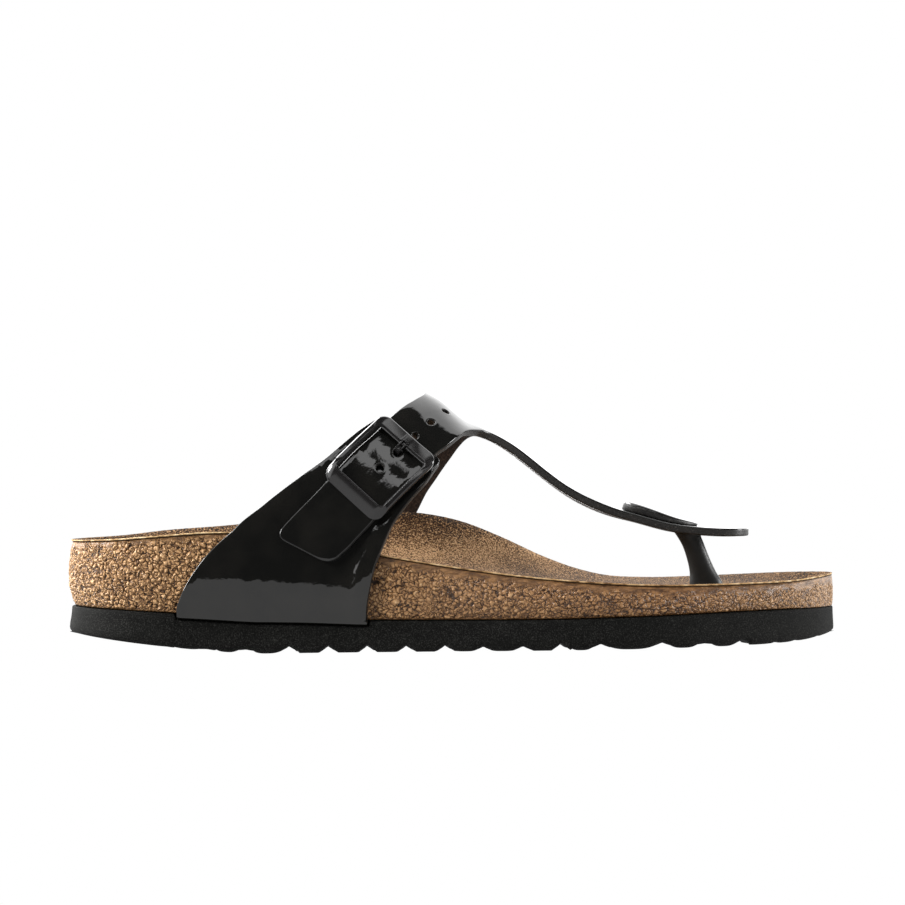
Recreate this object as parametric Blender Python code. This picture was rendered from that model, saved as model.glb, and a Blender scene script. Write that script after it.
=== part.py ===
"""Toe post sandal for the right foot, as separate solids.

+X runs to the toe, +Y to the inner side of the foot and +Z up. Lengths in this file are millimetres, and
a mesh is turned into Blender's metres when it is made. The shapes are worked out on the last, with x
from the heel's end and y from the heel's middle, and at the end the whole sandal is moved so that the
origin is the middle of its bounding box's underside.

A place on the last is a station and a girth. The station runs from 0 at the heel's end to 1 at the toe.
The girth runs round the foot: 0 is the lower edge of the footbed's outer side, 1 its rim there, 2 the
ridge of the instep, 3 the rim of the inner side and 4 the lower edge there. From -1 to 0, and from 4 to
5, it follows the strap's margin in under the footbed.
"""

import bmesh
import bpy
from math import acos, ceil, cos, floor, hypot, pi, sin, sqrt
from mathutils import Matrix, Vector
from mathutils.geometry import delaunay_2d_cdt

MM = 0.001

# Driving dimensions
SOLE_LENGTH = 255.0
HEEL_WIDTH = 66.0
WAIST_WIDTH = 67.0
BALL_WIDTH = 94.0
TOE_SWING = 12.0
HEEL_RISE = 7.0
TOE_SPRING = 2.2
FOAM_THICKNESS = 10.5
RIM_HEIGHT = 40.0
SEAT_HEIGHT = 25.0
INSTEP_HEIGHT = 80.0
RIDGE_SWING = 15.0

# Sole pieces
LINER_THICKNESS = 1.5
LINER_LIP = 0.5
CORK_TUCK = 2.0
RIM_TUCK = 1.4
FOAM_LIP = 1.0
FOAM_ROUND = 1.6
TREAD_DEPTH = 2.3
LUG_ROUND = 0.9
TREAD_WAVE = 1.8

# Straps
UPPER_THICKNESS = 2.6
MARGIN = 9.0
FOLD_RADIUS = 0.4
STRAP_WIDTH = 20.6
LEG_WIDTH = 20.0
HOLE_DIAMETER = 2.4

# Buckle
BUCKLE_LENGTH = 29.6
BUCKLE_WIDTH = 24.4
BUCKLE_DEPTH = 2.6
BUCKLE_CORNER = 3.6
FRONT_BAR = 2.3
REAR_BAR = 4.8
RAIL = 2.3
PRONG_WIDTH = 2.4
PRONG_HEIGHT = 1.5
PRONG_PIN = 1.1

# Toe post and its button
POST_AT = 0.812
POST_LENGTH = 10.3
POST_THICKNESS = 5.2
POST_LEAN = 6.6
POST_ROOT = 6.0
STEM_LENGTH = 5.0
STEM_THICKNESS = 3.0
BUTTON_AT = 0.772
BUTTON_LENGTH = 26.0
BUTTON_WIDTH = 15.5
BUTTON_REAR = 2.7
BUTTON_FRONT = 0.7

# Clearance between neighbouring pieces
GAP = 0.3

# How the sole rests: the flat run of its underside, as stations
HEEL_FLAT = 0.25
BALL_FLAT = 0.70

# Where a sole's side is widest, as a share of the footbed's height
WIDEST = 0.45

# Ends of the heel cup and of the toe's raised rim, as shares of the length
HEEL_CUP = 0.16
TOE_CUP = 0.07
DISH = 3.0

# Distance between the patterns' points, and flat lengths of the girth's runs, for laying out the patterns
PATTERN_PITCH = 6.0
WALL_GIRTH = 22.0
OUTER_GIRTH = 85.0
INNER_GIRTH = 55.0
RUNS = [MARGIN, WALL_GIRTH, OUTER_GIRTH, INNER_GIRTH, WALL_GIRTH, MARGIN]

# The plan of the sole: station, width, middle line towards the inner side
PLAN = [
    (0.00, 0.00 * HEEL_WIDTH, 0.00 * TOE_SWING),
    (0.02, 0.53 * HEEL_WIDTH, 0.00 * TOE_SWING),
    (0.06, 0.82 * HEEL_WIDTH, 0.00 * TOE_SWING),
    (0.12, 0.97 * HEEL_WIDTH, -0.02 * TOE_SWING),
    (0.18, 1.00 * HEEL_WIDTH, -0.05 * TOE_SWING),
    (0.28, 0.99 * WAIST_WIDTH, -0.18 * TOE_SWING),
    (0.38, 1.00 * WAIST_WIDTH, -0.38 * TOE_SWING),
    (0.48, 0.77 * BALL_WIDTH, -0.50 * TOE_SWING),
    (0.58, 0.885 * BALL_WIDTH, -0.45 * TOE_SWING),
    (0.66, 0.975 * BALL_WIDTH, -0.31 * TOE_SWING),
    (0.72, 1.00 * BALL_WIDTH, -0.18 * TOE_SWING),
    (0.80, 0.945 * BALL_WIDTH, 0.00 * TOE_SWING),
    (0.87, 0.83 * BALL_WIDTH, 0.25 * TOE_SWING),
    (0.93, 0.655 * BALL_WIDTH, 0.48 * TOE_SWING),
    (0.97, 0.436 * BALL_WIDTH, 0.72 * TOE_SWING),
    (0.99, 0.24 * BALL_WIDTH, 0.92 * TOE_SWING),
    (1.00, 0.00 * BALL_WIDTH, 1.00 * TOE_SWING),
]

# Heights along the sole: station, foam, footbed's middle, outer rim, inner rim
HEIGHTS = [
    (0.00, 0.85, 1.09, 0.940, 0.940),
    (0.06, 0.97, 1.04, 0.950, 0.950),
    (0.12, 1.06, 1.01, 0.973, 0.985),
    (0.20, 1.13, 0.985, 0.998, 1.015),
    (0.30, 1.10, 1.00, 0.943, 1.073),
    (0.38, 1.02, 1.025, 0.830, 1.110),
    (0.45, 0.99, 1.01, 0.745, 1.100),
    (0.51, 0.98, 0.95, 0.680, 1.020),
    (0.565, 0.97, 0.87, 0.628, 0.875),
    (0.62, 0.97, 0.785, 0.585, 0.703),
    (0.66, 0.98, 0.73, 0.560, 0.603),
    (0.70, 0.99, 0.695, 0.540, 0.535),
    (0.76, 1.01, 0.69, 0.518, 0.505),
    (0.82, 1.03, 0.68, 0.510, 0.508),
    (0.88, 1.02, 0.67, 0.510, 0.520),
    (0.94, 0.96, 0.675, 0.515, 0.535),
    (1.00, 0.82, 0.69, 0.545, 0.545),
]

# The last above the rim: station, ridge height, ridge towards the inner side, fullness of side and crown
LAST = [
    (0.10, 1.90, 0.07, 0.60, 0.55),
    (0.20, 1.63, 0.07, 0.60, 0.55),
    (0.30, 1.38, 0.13, 0.60, 0.55),
    (0.40, 1.15, 0.27, 0.60, 0.55),
    (0.44, 1.065, 0.35, 0.60, 0.55),
    (0.46, 1.025, 0.39, 0.60, 0.55),
    (0.48, 1.003, 0.43, 0.60, 0.56),
    (0.50, 0.966, 0.46, 0.60, 0.58),
    (0.52, 0.924, 0.49, 0.60, 0.60),
    (0.54, 0.883, 0.52, 0.60, 0.63),
    (0.56, 0.846, 0.54, 0.60, 0.66),
    (0.58, 0.802, 0.57, 0.60, 0.70),
    (0.60, 0.750, 0.60, 0.60, 0.72),
    (0.62, 0.696, 0.63, 0.60, 0.74),
    (0.64, 0.647, 0.66, 0.60, 0.75),
    (0.66, 0.608, 0.69, 0.60, 0.75),
    (0.68, 0.5725, 0.73, 0.60, 0.75),
    (0.71, 0.530, 0.78, 0.60, 0.75),
    (0.75, 0.490, 0.85, 0.60, 0.75),
    (0.79, 0.458, 0.91, 0.60, 0.75),
    (0.82, 0.445, 0.95, 0.60, 0.75),
    (0.89, 0.4325, 0.99, 0.60, 0.75),
    (1.00, 0.430, 1.00, 0.60, 0.75),
]

# The buckle piece's outline: station, girth, corner radius, none where the edge runs on
QUARTER = [
    (0.147, -1.00, 3.0),
    (0.147, 0.04, 0.0),
    (0.153, 0.224, 0.0),
    (0.164, 0.423, 0.0),
    (0.180, 0.635, 0.0),
    (0.199, 0.827, 0.0),
    (0.231, 1.019, 0.0),
    (0.262, 1.069, 0.0),
    (0.308, 1.160, 0.0),
    (0.346, 1.262, 0.0),
    (0.3985, 1.471, 0.0),
    (0.413, 1.537, 7.0),
    (0.489, 1.425, 3.0),
    (0.471, 1.310, 0.0),
    (0.454, 1.231, 0.0),
    (0.437, 1.151, 0.0),
    (0.426, 1.097, 0.0),
    (0.417, 1.042, 0.0),
    (0.405, 0.837, 0.0),
    (0.3975, 0.498, 0.0),
    (0.392, 0.170, 0.0),
    (0.390, -1.00, 3.0),
]

# The buckled arm's lower end: its two corners, with their radius
TAIL_BACK = (0.2755, 0.958, 4.0)
TAIL_FRONT = (0.3465, 0.722, 4.0)

# The arm's middle line from there up to the instep: station, girth. The buckle sits on the first hole, and
# its prong goes through the second one. The arm's edges run on past its first five rows by themselves.
ARM_START = [
    (0.3446, 1.047),
    (0.3710, 1.128),
]
HOLES = [
    (0.4100, 1.276),
    (0.4310, 1.363),
    (0.4516, 1.481),
    (0.4730, 1.597),
    (0.4880, 1.725),
]
ARM = ARM_START + HOLES
EDGE_ROWS = 5

# Where the arm comes down from the buckle piece to the last: girths past that piece's end
LAP_START = 0.05
LAP_RUN = 0.30

# The instep's back edge, from the arm over the ridge and down to the inner side's margin: station, girth
INSTEP_BACK = [
    (0.4406, 1.646),
    (0.4484, 1.706),
    (0.4600, 1.803),
    (0.4655, 2.000),
    (0.4630, 2.168),
    (0.4500, 2.371),
    (0.4320, 2.498),
    (0.4020, 2.624),
    (0.3710, 2.740),
    (0.3430, 2.816),
    (0.3006, 2.899),
    (0.2550, 2.969),
    (0.2240, 3.027),
    (0.1910, 3.301),
    (0.1710, 3.499),
    (0.1560, 3.718),
    (0.1480, 3.940),
]
INNER_MARGIN_BACK = 0.147
INNER_MARGIN_FRONT = 0.425

# The inner side's front edge, from its margin up to the leg
INSTEP_FRONT = [
    (0.425, 4.00),
    (0.427, 3.60),
    (0.437, 3.25),
    (0.454, 3.007),
    (0.468, 2.893),
    (0.482, 2.796),
    (0.4996, 2.642),
    (0.511, 2.513),
    (0.522, 2.375),
]
INNER_CROTCH = (0.540, 2.170, 7.0)
OUTER_CROTCH = (0.540, 1.840, 5.0)
ARM_FRONT = [
    (0.5244, 1.722),
    (0.5137, 1.637),
    (0.5044, 1.551),
    (0.4932, 1.479),
]

# The leg to the toe post: station, shares of the leg's width at the outer and the inner edge
LEG = [
    (0.59, 1.05, 0.90),
    (0.64, 1.00, 0.95),
    (0.70, 1.00, 1.00),
    (0.75, 1.09, 1.09),
    (0.80, 1.20, 1.20),
    (0.85, 1.27, 1.27),
]
LEG_END = 0.891
LEG_END_WIDTH = 1.16
LEG_END_RADIUS = 9.5

# The leg's inner edge hangs lower than its outer one between two stations; its edges lie this far from the
# ridge as girths
LEG_TWIST = 0.9
TWIST_BACK = 0.62
TWIST_FRONT = 0.75
LEG_GIRTH = 0.22

# The toe post: share of its height, lean, length and thickness
POST = [
    (0.00, 0.94, 1.00, 1.05),
    (0.10, 0.92, 1.00, 1.00),
    (0.29, 0.78, 0.81, 0.95),
    (0.52, 0.57, 0.69, 0.92),
    (0.73, 0.32, 0.65, 0.92),
    (0.90, 0.10, 0.71, 0.98),
    (1.00, 0.02, 0.80, 1.06),
]

# The tread's grooves: station, length along the sole, depth at the outer and the inner side, and how round
# the lug behind it is
GROOVES = [
    (0.035, 3.6, 0.70, 0.20, 1.0),
    (0.080, 4.4, 0.80, 0.20, 1.0),
    (0.132, 5.0, 0.90, 0.30, 1.0),
    (0.184, 5.4, 0.90, 0.60, 1.0),
    (0.2325, 5.8, 0.95, 1.00, 1.0),
    (0.289, 6.2, 1.00, 1.00, 0.6),
    (0.3395, 6.4, 1.00, 1.00, 0.0),
    (0.3895, 6.4, 1.00, 1.00, 0.0),
    (0.439, 6.4, 1.00, 1.00, 0.0),
    (0.4915, 6.4, 1.00, 1.00, 0.0),
    (0.5405, 6.0, 0.90, 0.80, 0.2),
    (0.5945, 6.0, 0.90, 0.90, 0.2),
    (0.643, 6.4, 1.00, 1.00, 0.0),
    (0.694, 6.0, 0.90, 0.90, 0.8),
    (0.772, 5.6, 0.90, 0.90, 1.0),
    (0.829, 5.0, 0.80, 0.50, 1.0),
    (0.877, 4.6, 0.80, 0.80, 1.0),
    (0.916, 3.6, 0.80, 0.20, 1.0),
    (0.944, 3.0, 0.80, 0.20, 0.8),
    (0.976, 2.6, 0.60, 0.20, 0.8),
]

SIDE = {"out": -1, "in": 1}


def smooth(rows, column, at, key=lambda value: value):
    """A smooth curve through a table's column, read at a station."""
    places = [key(row[0]) for row in rows]
    values = [row[column] for row in rows]
    place = key(at)
    left = 0
    while left < len(places) - 2 and places[left + 1] <= place:
        left += 1

    def slope(index):
        before = max(index - 1, 0)
        after = min(index + 1, len(places) - 1)
        if before == index or after == index:
            return (values[after] - values[before]) / (places[after] - places[before])
        back = (values[index] - values[before]) / (places[index] - places[before])
        ahead = (values[after] - values[index]) / (places[after] - places[index])
        weight = (places[index] - places[before]) / (places[after] - places[before])
        return back * (1 - weight) + ahead * weight

    run = places[left + 1] - places[left]
    t = (place - places[left]) / run
    rise = values[left + 1] - values[left]
    start = slope(left) * run
    end = slope(left + 1) * run
    bend = 3 * rise - 2 * start - end
    return values[left] + start * t + bend * t ** 2 + (start + end - 2 * rise) * t ** 3


def turn(station):
    """The angle at which a circle over the sole's length passes the station."""
    return acos(max(-1.0, min(1.0, 1 - 2 * station)))


def station_at(angle):
    return (1 - cos(angle)) / 2


def plan_edge(station, side):
    return smooth(PLAN, 2, station, turn) + SIDE[side] * smooth(PLAN, 1, station, turn) / 2


def plan_point(station, side, inset):
    """A point of the plan's outline, moved inwards square to the outline."""
    angle = turn(station)
    step = 0.001
    low = station_at(max(angle - step, 0.0))
    high = station_at(min(angle + step, pi))
    along = SOLE_LENGTH * (high - low)
    across = plan_edge(high, side) - plan_edge(low, side)
    length = hypot(along, across)
    outward_x = -SIDE[side] * across / length
    outward_y = SIDE[side] * along / length
    return (
        SOLE_LENGTH * station - inset * outward_x,
        plan_edge(station, side) - inset * outward_y,
    )


def ground(station):
    """Height of the lugs over the floor."""
    if station < HEEL_FLAT:
        return HEEL_RISE * (1 - station / HEEL_FLAT) ** 1.3
    if station > BALL_FLAT:
        return TOE_SPRING * ((station - BALL_FLAT) / (1 - BALL_FLAT)) ** 3
    return 0.0


def joint(station):
    """Height of the footbed's underside."""
    return ground(station) + FOAM_THICKNESS * smooth(HEIGHTS, 1, station)


def bed(station):
    return SEAT_HEIGHT * smooth(HEIGHTS, 2, station)


def rim(station, side):
    return RIM_HEIGHT * smooth(HEIGHTS, 3 if side == "out" else 4, station)


def dish(station, across):
    """Height of the liner's top; across runs from -1 at the outer rim to 1 at the inner one."""
    heel = max(0.0, 1 - station / HEEL_CUP)
    toe = max(0.0, 1 - (1 - station) / TOE_CUP)
    lift = min(1.0, abs(across) ** DISH + heel ** DISH + toe ** DISH)
    edge = rim(station, "out") * (1 - across) / 2 + rim(station, "in") * (1 + across) / 2
    return bed(station) + (edge - bed(station)) * lift


def side_inset(share):
    """How far the footbed's side lies in from the plan, at a share of its height."""
    if share < WIDEST:
        return CORK_TUCK * ((WIDEST - share) / WIDEST) ** 2
    return RIM_TUCK * ((share - WIDEST) / (1 - WIDEST)) ** 2


def strap_inset(share):
    """How far the straps' inner face lies in from the plan, clear of the cork and of the liner's lip."""
    inset = side_inset(share)
    if share > WIDEST:
        inset = min(inset, RIM_TUCK - LINER_LIP)
    return inset - GAP


def last_point(station, girth):
    """The inner face of the straps."""
    side = "out" if girth <= 2 else "in"
    sign = SIDE[side]
    level = girth if side == "out" else 4 - girth
    low = joint(station)
    high = rim(station, side)
    x = SOLE_LENGTH * station
    fold_top = low - GAP + FOLD_RADIUS
    if level <= 1:
        height = fold_top + (high - fold_top) * max(level, 0.0)
        y = plan_edge(station, side) - sign * strap_inset((height - low) / (high - low))
        if level >= 0:
            return Vector((x, y, height))
        reach = -level * MARGIN
        angle = min(reach / FOLD_RADIUS, pi / 2)
        inward = FOLD_RADIUS * (1 - cos(angle)) + max(0.0, reach - FOLD_RADIUS * pi / 2)
        return Vector((x, y - sign * inward, fold_top - FOLD_RADIUS * sin(angle)))
    t = level - 1
    rim_y = plan_edge(station, side) - sign * strap_inset(1.0)
    ridge_z = INSTEP_HEIGHT * smooth(LAST, 1, station)
    ridge_y = RIDGE_SWING * smooth(LAST, 2, station)
    rise = smooth(LAST, 3, station) * (ridge_z - high)
    lean = 2 * RIM_TUCK / (1 - WIDEST) / (high - low)
    side_y = rim_y - sign * rise * lean
    crown_y = ridge_y + smooth(LAST, 4, station) * (rim_y - ridge_y)
    weights = ((1 - t) ** 3, 3 * (1 - t) ** 2 * t, 3 * (1 - t) * t ** 2, t ** 3)
    y = sum(w * v for w, v in zip(weights, (rim_y, side_y, crown_y, ridge_y)))
    z = sum(w * v for w, v in zip(weights, (high, high + rise, ridge_z, ridge_z)))
    return Vector((x, y, z))


def tangents(station, girth):
    """How the last's point moves with the station and with the girth."""
    step = 0.0005
    along = (last_point(station + step, girth) - last_point(station - step, girth)) / (2 * step)
    around = (last_point(station, girth + step) - last_point(station, girth - step)) / (2 * step)
    return along, around


def on_last(station, girth, height):
    along, around = tangents(station, girth)
    return last_point(station, girth) + along.cross(around).normalized() * height


def walk(station, girth, way, distance, steps=4):
    """The place reached by going a distance over the last, as near to a direction as it allows."""
    _, around = tangents(station, girth)
    girth += 0.001 if around.dot(way) > 0 else -0.001
    for _ in range(steps):
        along, around = tangents(station, girth)
        aa, ab, bb = along.dot(along), along.dot(around), around.dot(around)
        pa, pb = along.dot(way), around.dot(way)
        spread = aa * bb - ab * ab
        ds, dg = (pa * bb - pb * ab) / spread, (pb * aa - pa * ab) / spread
        length = (along * ds + around * dg).length
        station += ds / length * distance / steps
        girth += dg / length * distance / steps
    return station, girth


def flat(station, girth):
    """A place on the last, laid out flat in millimetres."""
    run = max(0, min(5, floor(girth) + 1))
    start = sum(RUNS[:run]) - MARGIN
    return Vector((station * SOLE_LENGTH, start + RUNS[run] * (girth - run + 1)))


def unflat(spot):
    """The station and girth of a point of the flat layout."""
    rest = spot[1] + MARGIN
    run = 0
    while run < 5 and rest > RUNS[run]:
        rest -= RUNS[run]
        run += 1
    return spot[0] / SOLE_LENGTH, run - 1 + rest / RUNS[run]


def crease_rows():
    """Girths that a pattern's triangles follow: the rims, and the fold into each margin."""
    share = FOLD_RADIUS * pi / 2 / MARGIN
    rows = [1.0] + [-share * part / 3 for part in range(4)]
    return rows + [4 - row for row in rows]


def curve_through(points, step):
    """Points a step apart on a smooth curve through the given flat points."""
    result = [points[0]]
    for index in range(len(points) - 1):
        a, b = points[index], points[index + 1]
        before = points[index - 1] if index else a
        after = points[index + 2] if index + 2 < len(points) else b
        run = (b - a).length
        start = (b - before) / ((b - a).length + (a - before).length) * run
        end = (after - a) / ((after - b).length + (b - a).length) * run
        count = max(1, ceil(run / step))
        for part in range(1, count + 1):
            t = part / count
            result.append(a + start * t + (3 * (b - a) - 2 * start - end) * t ** 2
                          + (start + end - 2 * (b - a)) * t ** 3)
    return result


def shorten(points, length):
    """Takes a length off the end of a line of points."""
    points = list(points)
    while len(points) > 2 and (points[-1] - points[-2]).length < length:
        length -= (points[-1] - points[-2]).length
        points.pop()
    last_run = points[-1] - points[-2]
    share = min(length / last_run.length, 0.9)
    points[-1] = points[-1] - last_run * share
    return points


def trace(nodes, step, corner_parts):
    """A closed flat outline through nodes of station, girth and corner radius."""
    spots = [(flat(node[0], node[1]), node[2]) for node in nodes]
    first = next(index for index, spot in enumerate(spots) if spot[1])
    spots = spots[first:] + spots[:first + 1]
    runs = []
    for spot, radius in spots:
        if runs:
            runs[-1][0].append(spot)
        if radius:
            runs.append(([spot], radius))
    runs.pop()
    sampled = [curve_through(run, step) for run, _ in runs]
    radii = [radius for _, radius in runs]
    outline = []
    for index, run in enumerate(sampled):
        cut = shorten(run, radii[(index + 1) % len(runs)])
        cut = shorten(cut[::-1], radii[index])[::-1]
        corner = run[-1]
        after = shorten(sampled[(index + 1) % len(runs)][::-1], radii[(index + 1) % len(runs)])[-1]
        outline += cut
        for part in range(1, corner_parts):
            t = part / corner_parts
            outline.append(cut[-1] * (1 - t) ** 2 + corner * 2 * t * (1 - t) + after * t ** 2)
    return outline


def cross_rows(outline, levels):
    """Adds a point wherever the outline crosses one of the levels."""
    result = []
    for index, spot in enumerate(outline):
        ahead = outline[(index + 1) % len(outline)]
        result.append(spot)
        shares = sorted((level - spot[1]) / (ahead[1] - spot[1]) for level in levels
                        if min(spot[1], ahead[1]) < level < max(spot[1], ahead[1]))
        result += [spot.lerp(ahead, share) for share in shares if 0.02 < share < 0.98]
    return result


def inside(outline, spot):
    odd = False
    for a, b in zip(outline, outline[1:] + outline[:1]):
        if (a[1] > spot[1]) != (b[1] > spot[1]):
            if spot[0] < a[0] + (b[0] - a[0]) * (spot[1] - a[1]) / (b[1] - a[1]):
                odd = not odd
    return odd


def clear_of(outline, spot, distance):
    for a, b in zip(outline, outline[1:] + outline[:1]):
        side = b - a
        share = max(0.0, min(1.0, (spot - a).dot(side) / side.dot(side)))
        if (a + side * share - spot).length < distance:
            return False
    return True


def cut_panel(nodes, holes, pitch, corner_parts=4):
    """A pattern piece as flat triangles: its places on the last, and its faces."""
    creases = [flat(0.0, girth)[1] for girth in crease_rows()]
    outline = cross_rows(trace(nodes, pitch, corner_parts), creases)
    loops = [outline] + holes
    points = []
    edges = []
    for loop in loops:
        start = len(points)
        points += loop
        edges += [(start + index, start + (index + 1) % len(loop)) for index in range(len(loop))]
    low = min(spot[1] for spot in outline)
    high = max(spot[1] for spot in outline)
    left = min(spot[0] for spot in outline)
    right = max(spot[0] for spot in outline)
    columns = [left + pitch * (index + 0.5) for index in range(ceil((right - left) / pitch))]
    marks = sorted([low, high] + creases)
    rows = list(creases)
    for below, above in zip(marks, marks[1:]):
        parts = max(1, ceil((above - below) / pitch))
        rows += [below + (above - below) * part / parts for part in range(1, parts)]
    for row in rows:
        for column in columns:
            spot = Vector((column, row))
            if inside(outline, spot) and clear_of(outline, spot, pitch * 0.45):
                if all(not inside(hole, spot) and clear_of(hole, spot, pitch * 0.3) for hole in holes):
                    points.append(spot)
    for crease in creases:
        line = sorted((spot[0], index) for index, spot in enumerate(points) if abs(spot[1] - crease) < 1e-4)
        edges += [(a[1], b[1]) for a, b in zip(line, line[1:])]
    spots, _, faces, *_ = delaunay_2d_cdt(points, edges, [], 0, 1e-5)
    kept = []
    for face in faces:
        a, b, c = (spots[corner] for corner in face)
        middle = (a + b + c) / 3
        if abs((b - a).cross(c - a)) > 0.004 and inside(outline, middle):
            if not any(inside(hole, middle) for hole in holes):
                kept.append(tuple(face))
    used = sorted({corner for face in kept for corner in face})
    number = {corner: index for index, corner in enumerate(used)}
    places = [unflat(spots[corner]) for corner in used]
    return places, [tuple(number[corner] for corner in face) for face in kept]


def lay_panel(panel, low, high):
    """Lays a pattern piece on the last as a wall between two heights over it."""
    places, faces = panel
    points = [on_last(s, g, low(s, g)) for s, g in places] + [on_last(s, g, high(s, g)) for s, g in places]
    count = len(places)
    sides = {}
    for face in faces:
        for a, b in zip(face, face[1:] + face[:1]):
            if (b, a) in sides:
                del sides[(b, a)]
            else:
                sides[(a, b)] = True
    solid = [face[::-1] for face in faces]
    solid += [tuple(corner + count for corner in face) for face in faces]
    solid += [(a, b, b + count, a + count) for a, b in sides]
    return points, solid


def new_material(name, colour, roughness, metallic=0.0):
    material = bpy.data.materials.new(name)
    material.use_nodes = True
    shader = material.node_tree.nodes["Principled BSDF"]
    shader.inputs["Base Color"].default_value = (*colour, 1.0)
    shader.inputs["Roughness"].default_value = roughness
    shader.inputs["Metallic"].default_value = metallic
    material.diffuse_color = (*colour, 1.0)
    return material


def new_object(name, points, faces, material=None):
    """An object from points in millimetres, with its faces turned outwards."""
    mesh = bpy.data.meshes.new(name)
    mesh.from_pydata([Vector(point) * MM for point in points], [], faces)
    work = bmesh.new()
    work.from_mesh(mesh)
    bmesh.ops.recalc_face_normals(work, faces=work.faces)
    work.to_mesh(mesh)
    work.free()
    item = bpy.data.objects.new(name, mesh)
    bpy.context.collection.objects.link(item)
    if material:
        mesh.materials.append(material)
        mesh.shade_smooth()
        mesh.set_sharp_from_angle(angle=0.6)
    else:
        item.hide_render = True
        item.display_type = "WIRE"
    return item


def boolean(item, tool, operation):
    modifier = item.modifiers.new(tool.name, "BOOLEAN")
    modifier.operation = operation
    modifier.solver = "EXACT"
    modifier.object = tool


def stack(rings, closed=True):
    """Faces that join rings of equal length, with the first and last ring filled in."""
    count = len(rings[0])
    points = [point for ring in rings for point in ring]
    faces = []
    for level in range(len(rings) - 1):
        for index in range(count):
            ahead = (index + 1) % count
            base, top = level * count, (level + 1) * count
            faces.append((base + index, base + ahead, top + ahead, top + index))
    if closed:
        faces.append(tuple(range(count)))
        faces.append(tuple((len(rings) - 1) * count + index for index in range(count)))
    return points, faces


def sole_piece(stations, rings, under, over):
    """A solid with the sole's plan: rings from its lower to its upper edge, and two filled faces.

    A ring gives a point for a station and a side. Each filled face has a number of rows across and a
    function that gives the point for a station, a share across and the straight line's point there.
    """
    count = len(stations)
    sides = []
    for ring in rings:
        outer = [ring(station, "out") for station in stations]
        inner = [ring(station, "in") for station in stations[1:-1]]
        sides.append(outer + inner[::-1])
    points, faces = stack(sides, closed=False)
    size = len(sides[0])

    def column(level, index):
        inner = size - index if 0 < index < count - 1 else index
        return level * size + index, level * size + inner

    for level, (rows, place) in ((0, under), (len(rings) - 1, over)):
        grid = []
        for index, station in enumerate(stations):
            outer, inner = column(level, index)
            line = [outer]
            if outer != inner:
                for row in range(1, rows):
                    share = row / rows
                    straight = Vector(points[outer]).lerp(Vector(points[inner]), share)
                    points.append(place(station, 2 * share - 1, straight))
                    line.append(len(points) - 1)
                line.append(inner)
            grid.append(line)
        for a, b in zip(grid, grid[1:]):
            for row in range(rows):
                corners = [a[min(row, len(a) - 1)], b[min(row, len(b) - 1)],
                           b[min(row + 1, len(b) - 1)], a[min(row + 1, len(a) - 1)]]
                halves = [(corners[0], corners[1], corners[2]), (corners[0], corners[2], corners[3])]
                faces += [half for half in halves if len(set(half)) == 3]
    return points, faces


def even_stations(count):
    return [station_at(pi * index / count) for index in range(count + 1)]


def tread_columns():
    """The outsole's cross sections: station, and how far the tread is over the lugs at the two sides."""
    columns = [(0.0, 0.0, 0.0)]
    back = 0.0
    for station, length, outer, inner, roundness in GROOVES:
        half = length / 2 / SOLE_LENGTH
        run = station - half - back
        shoulder = LUG_ROUND * roundness
        columns.append((back + run * 0.25, 0.0, 0.0))
        columns.append((back + run * 0.75, 0.0, 0.0))
        columns.append((station - half, shoulder, shoulder))
        columns.append((station, TREAD_DEPTH * outer, TREAD_DEPTH * inner))
        back = station + half
        columns.append((back, shoulder, shoulder))
    middle = station_at((turn(back) + pi) / 2)
    return columns + [(middle, 0.0, 0.0), (1.0, 0.0, 0.0)]


def wave(across):
    """How far a groove swings to the toe, across the sole."""
    return TREAD_WAVE * cos(2 * pi * across) * (1 - across ** 4)


def make_outsole(material):
    columns = tread_columns()
    depth = {"out": {row[0]: row[1] for row in columns}, "in": {row[0]: row[2] for row in columns}}

    def ring(inset, height):
        def place(station, side):
            low = ground(station) + depth[side][station]
            top = joint(station) - GAP
            x, y = plan_point(station, side, inset)
            return Vector((x, y, height(low, top)))
        return place

    def under(station, across, straight):
        share = (1 + across) / 2
        height = depth["out"][station] * (1 - share) + depth["in"][station] * share
        return Vector((straight.x + wave(across), straight.y, ground(station) + height))

    def over(station, across, straight):
        return Vector((straight.x, straight.y, joint(station) - GAP))

    rings = [
        ring(FOAM_ROUND, lambda low, top: low),
        ring(0.0, lambda low, top: low + FOAM_ROUND),
        ring(FOAM_LIP * 0.6, lambda low, top: low + (top - low) * 0.55),
        ring(FOAM_LIP, lambda low, top: top),
    ]
    points, faces = sole_piece([row[0] for row in columns], rings, (8, under), (2, over))
    outsole = new_object("outsole", points, faces, material)
    for name, side, back, front in (
        ("outer_pocket", "out", QUARTER[0][0], QUARTER[-1][0]),
        ("inner_pocket", "in", INNER_MARGIN_BACK, INNER_MARGIN_FRONT),
    ):
        boolean(outsole, pocket(name, side, back, front), "DIFFERENCE")
    return outsole


def pocket(name, side, back, front):
    """The recess in the outsole's top that takes a strap's margin."""
    room = 2 * GAP / SOLE_LENGTH
    parts = 12
    rings = []
    for index in range(parts + 1):
        station = back - room + (front - back + 2 * room) * index / parts
        low = joint(station) - UPPER_THICKNESS - 2 * GAP
        high = joint(station) + UPPER_THICKNESS
        deep = plan_edge(station, side) - SIDE[side] * (CORK_TUCK + MARGIN + GAP)
        out = plan_edge(station, side) + SIDE[side] * 2 * UPPER_THICKNESS
        x = SOLE_LENGTH * station
        rings.append([(x, deep, low), (x, out, low), (x, out, high), (x, deep, high)])
    return new_object(name, *stack(rings))


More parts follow.
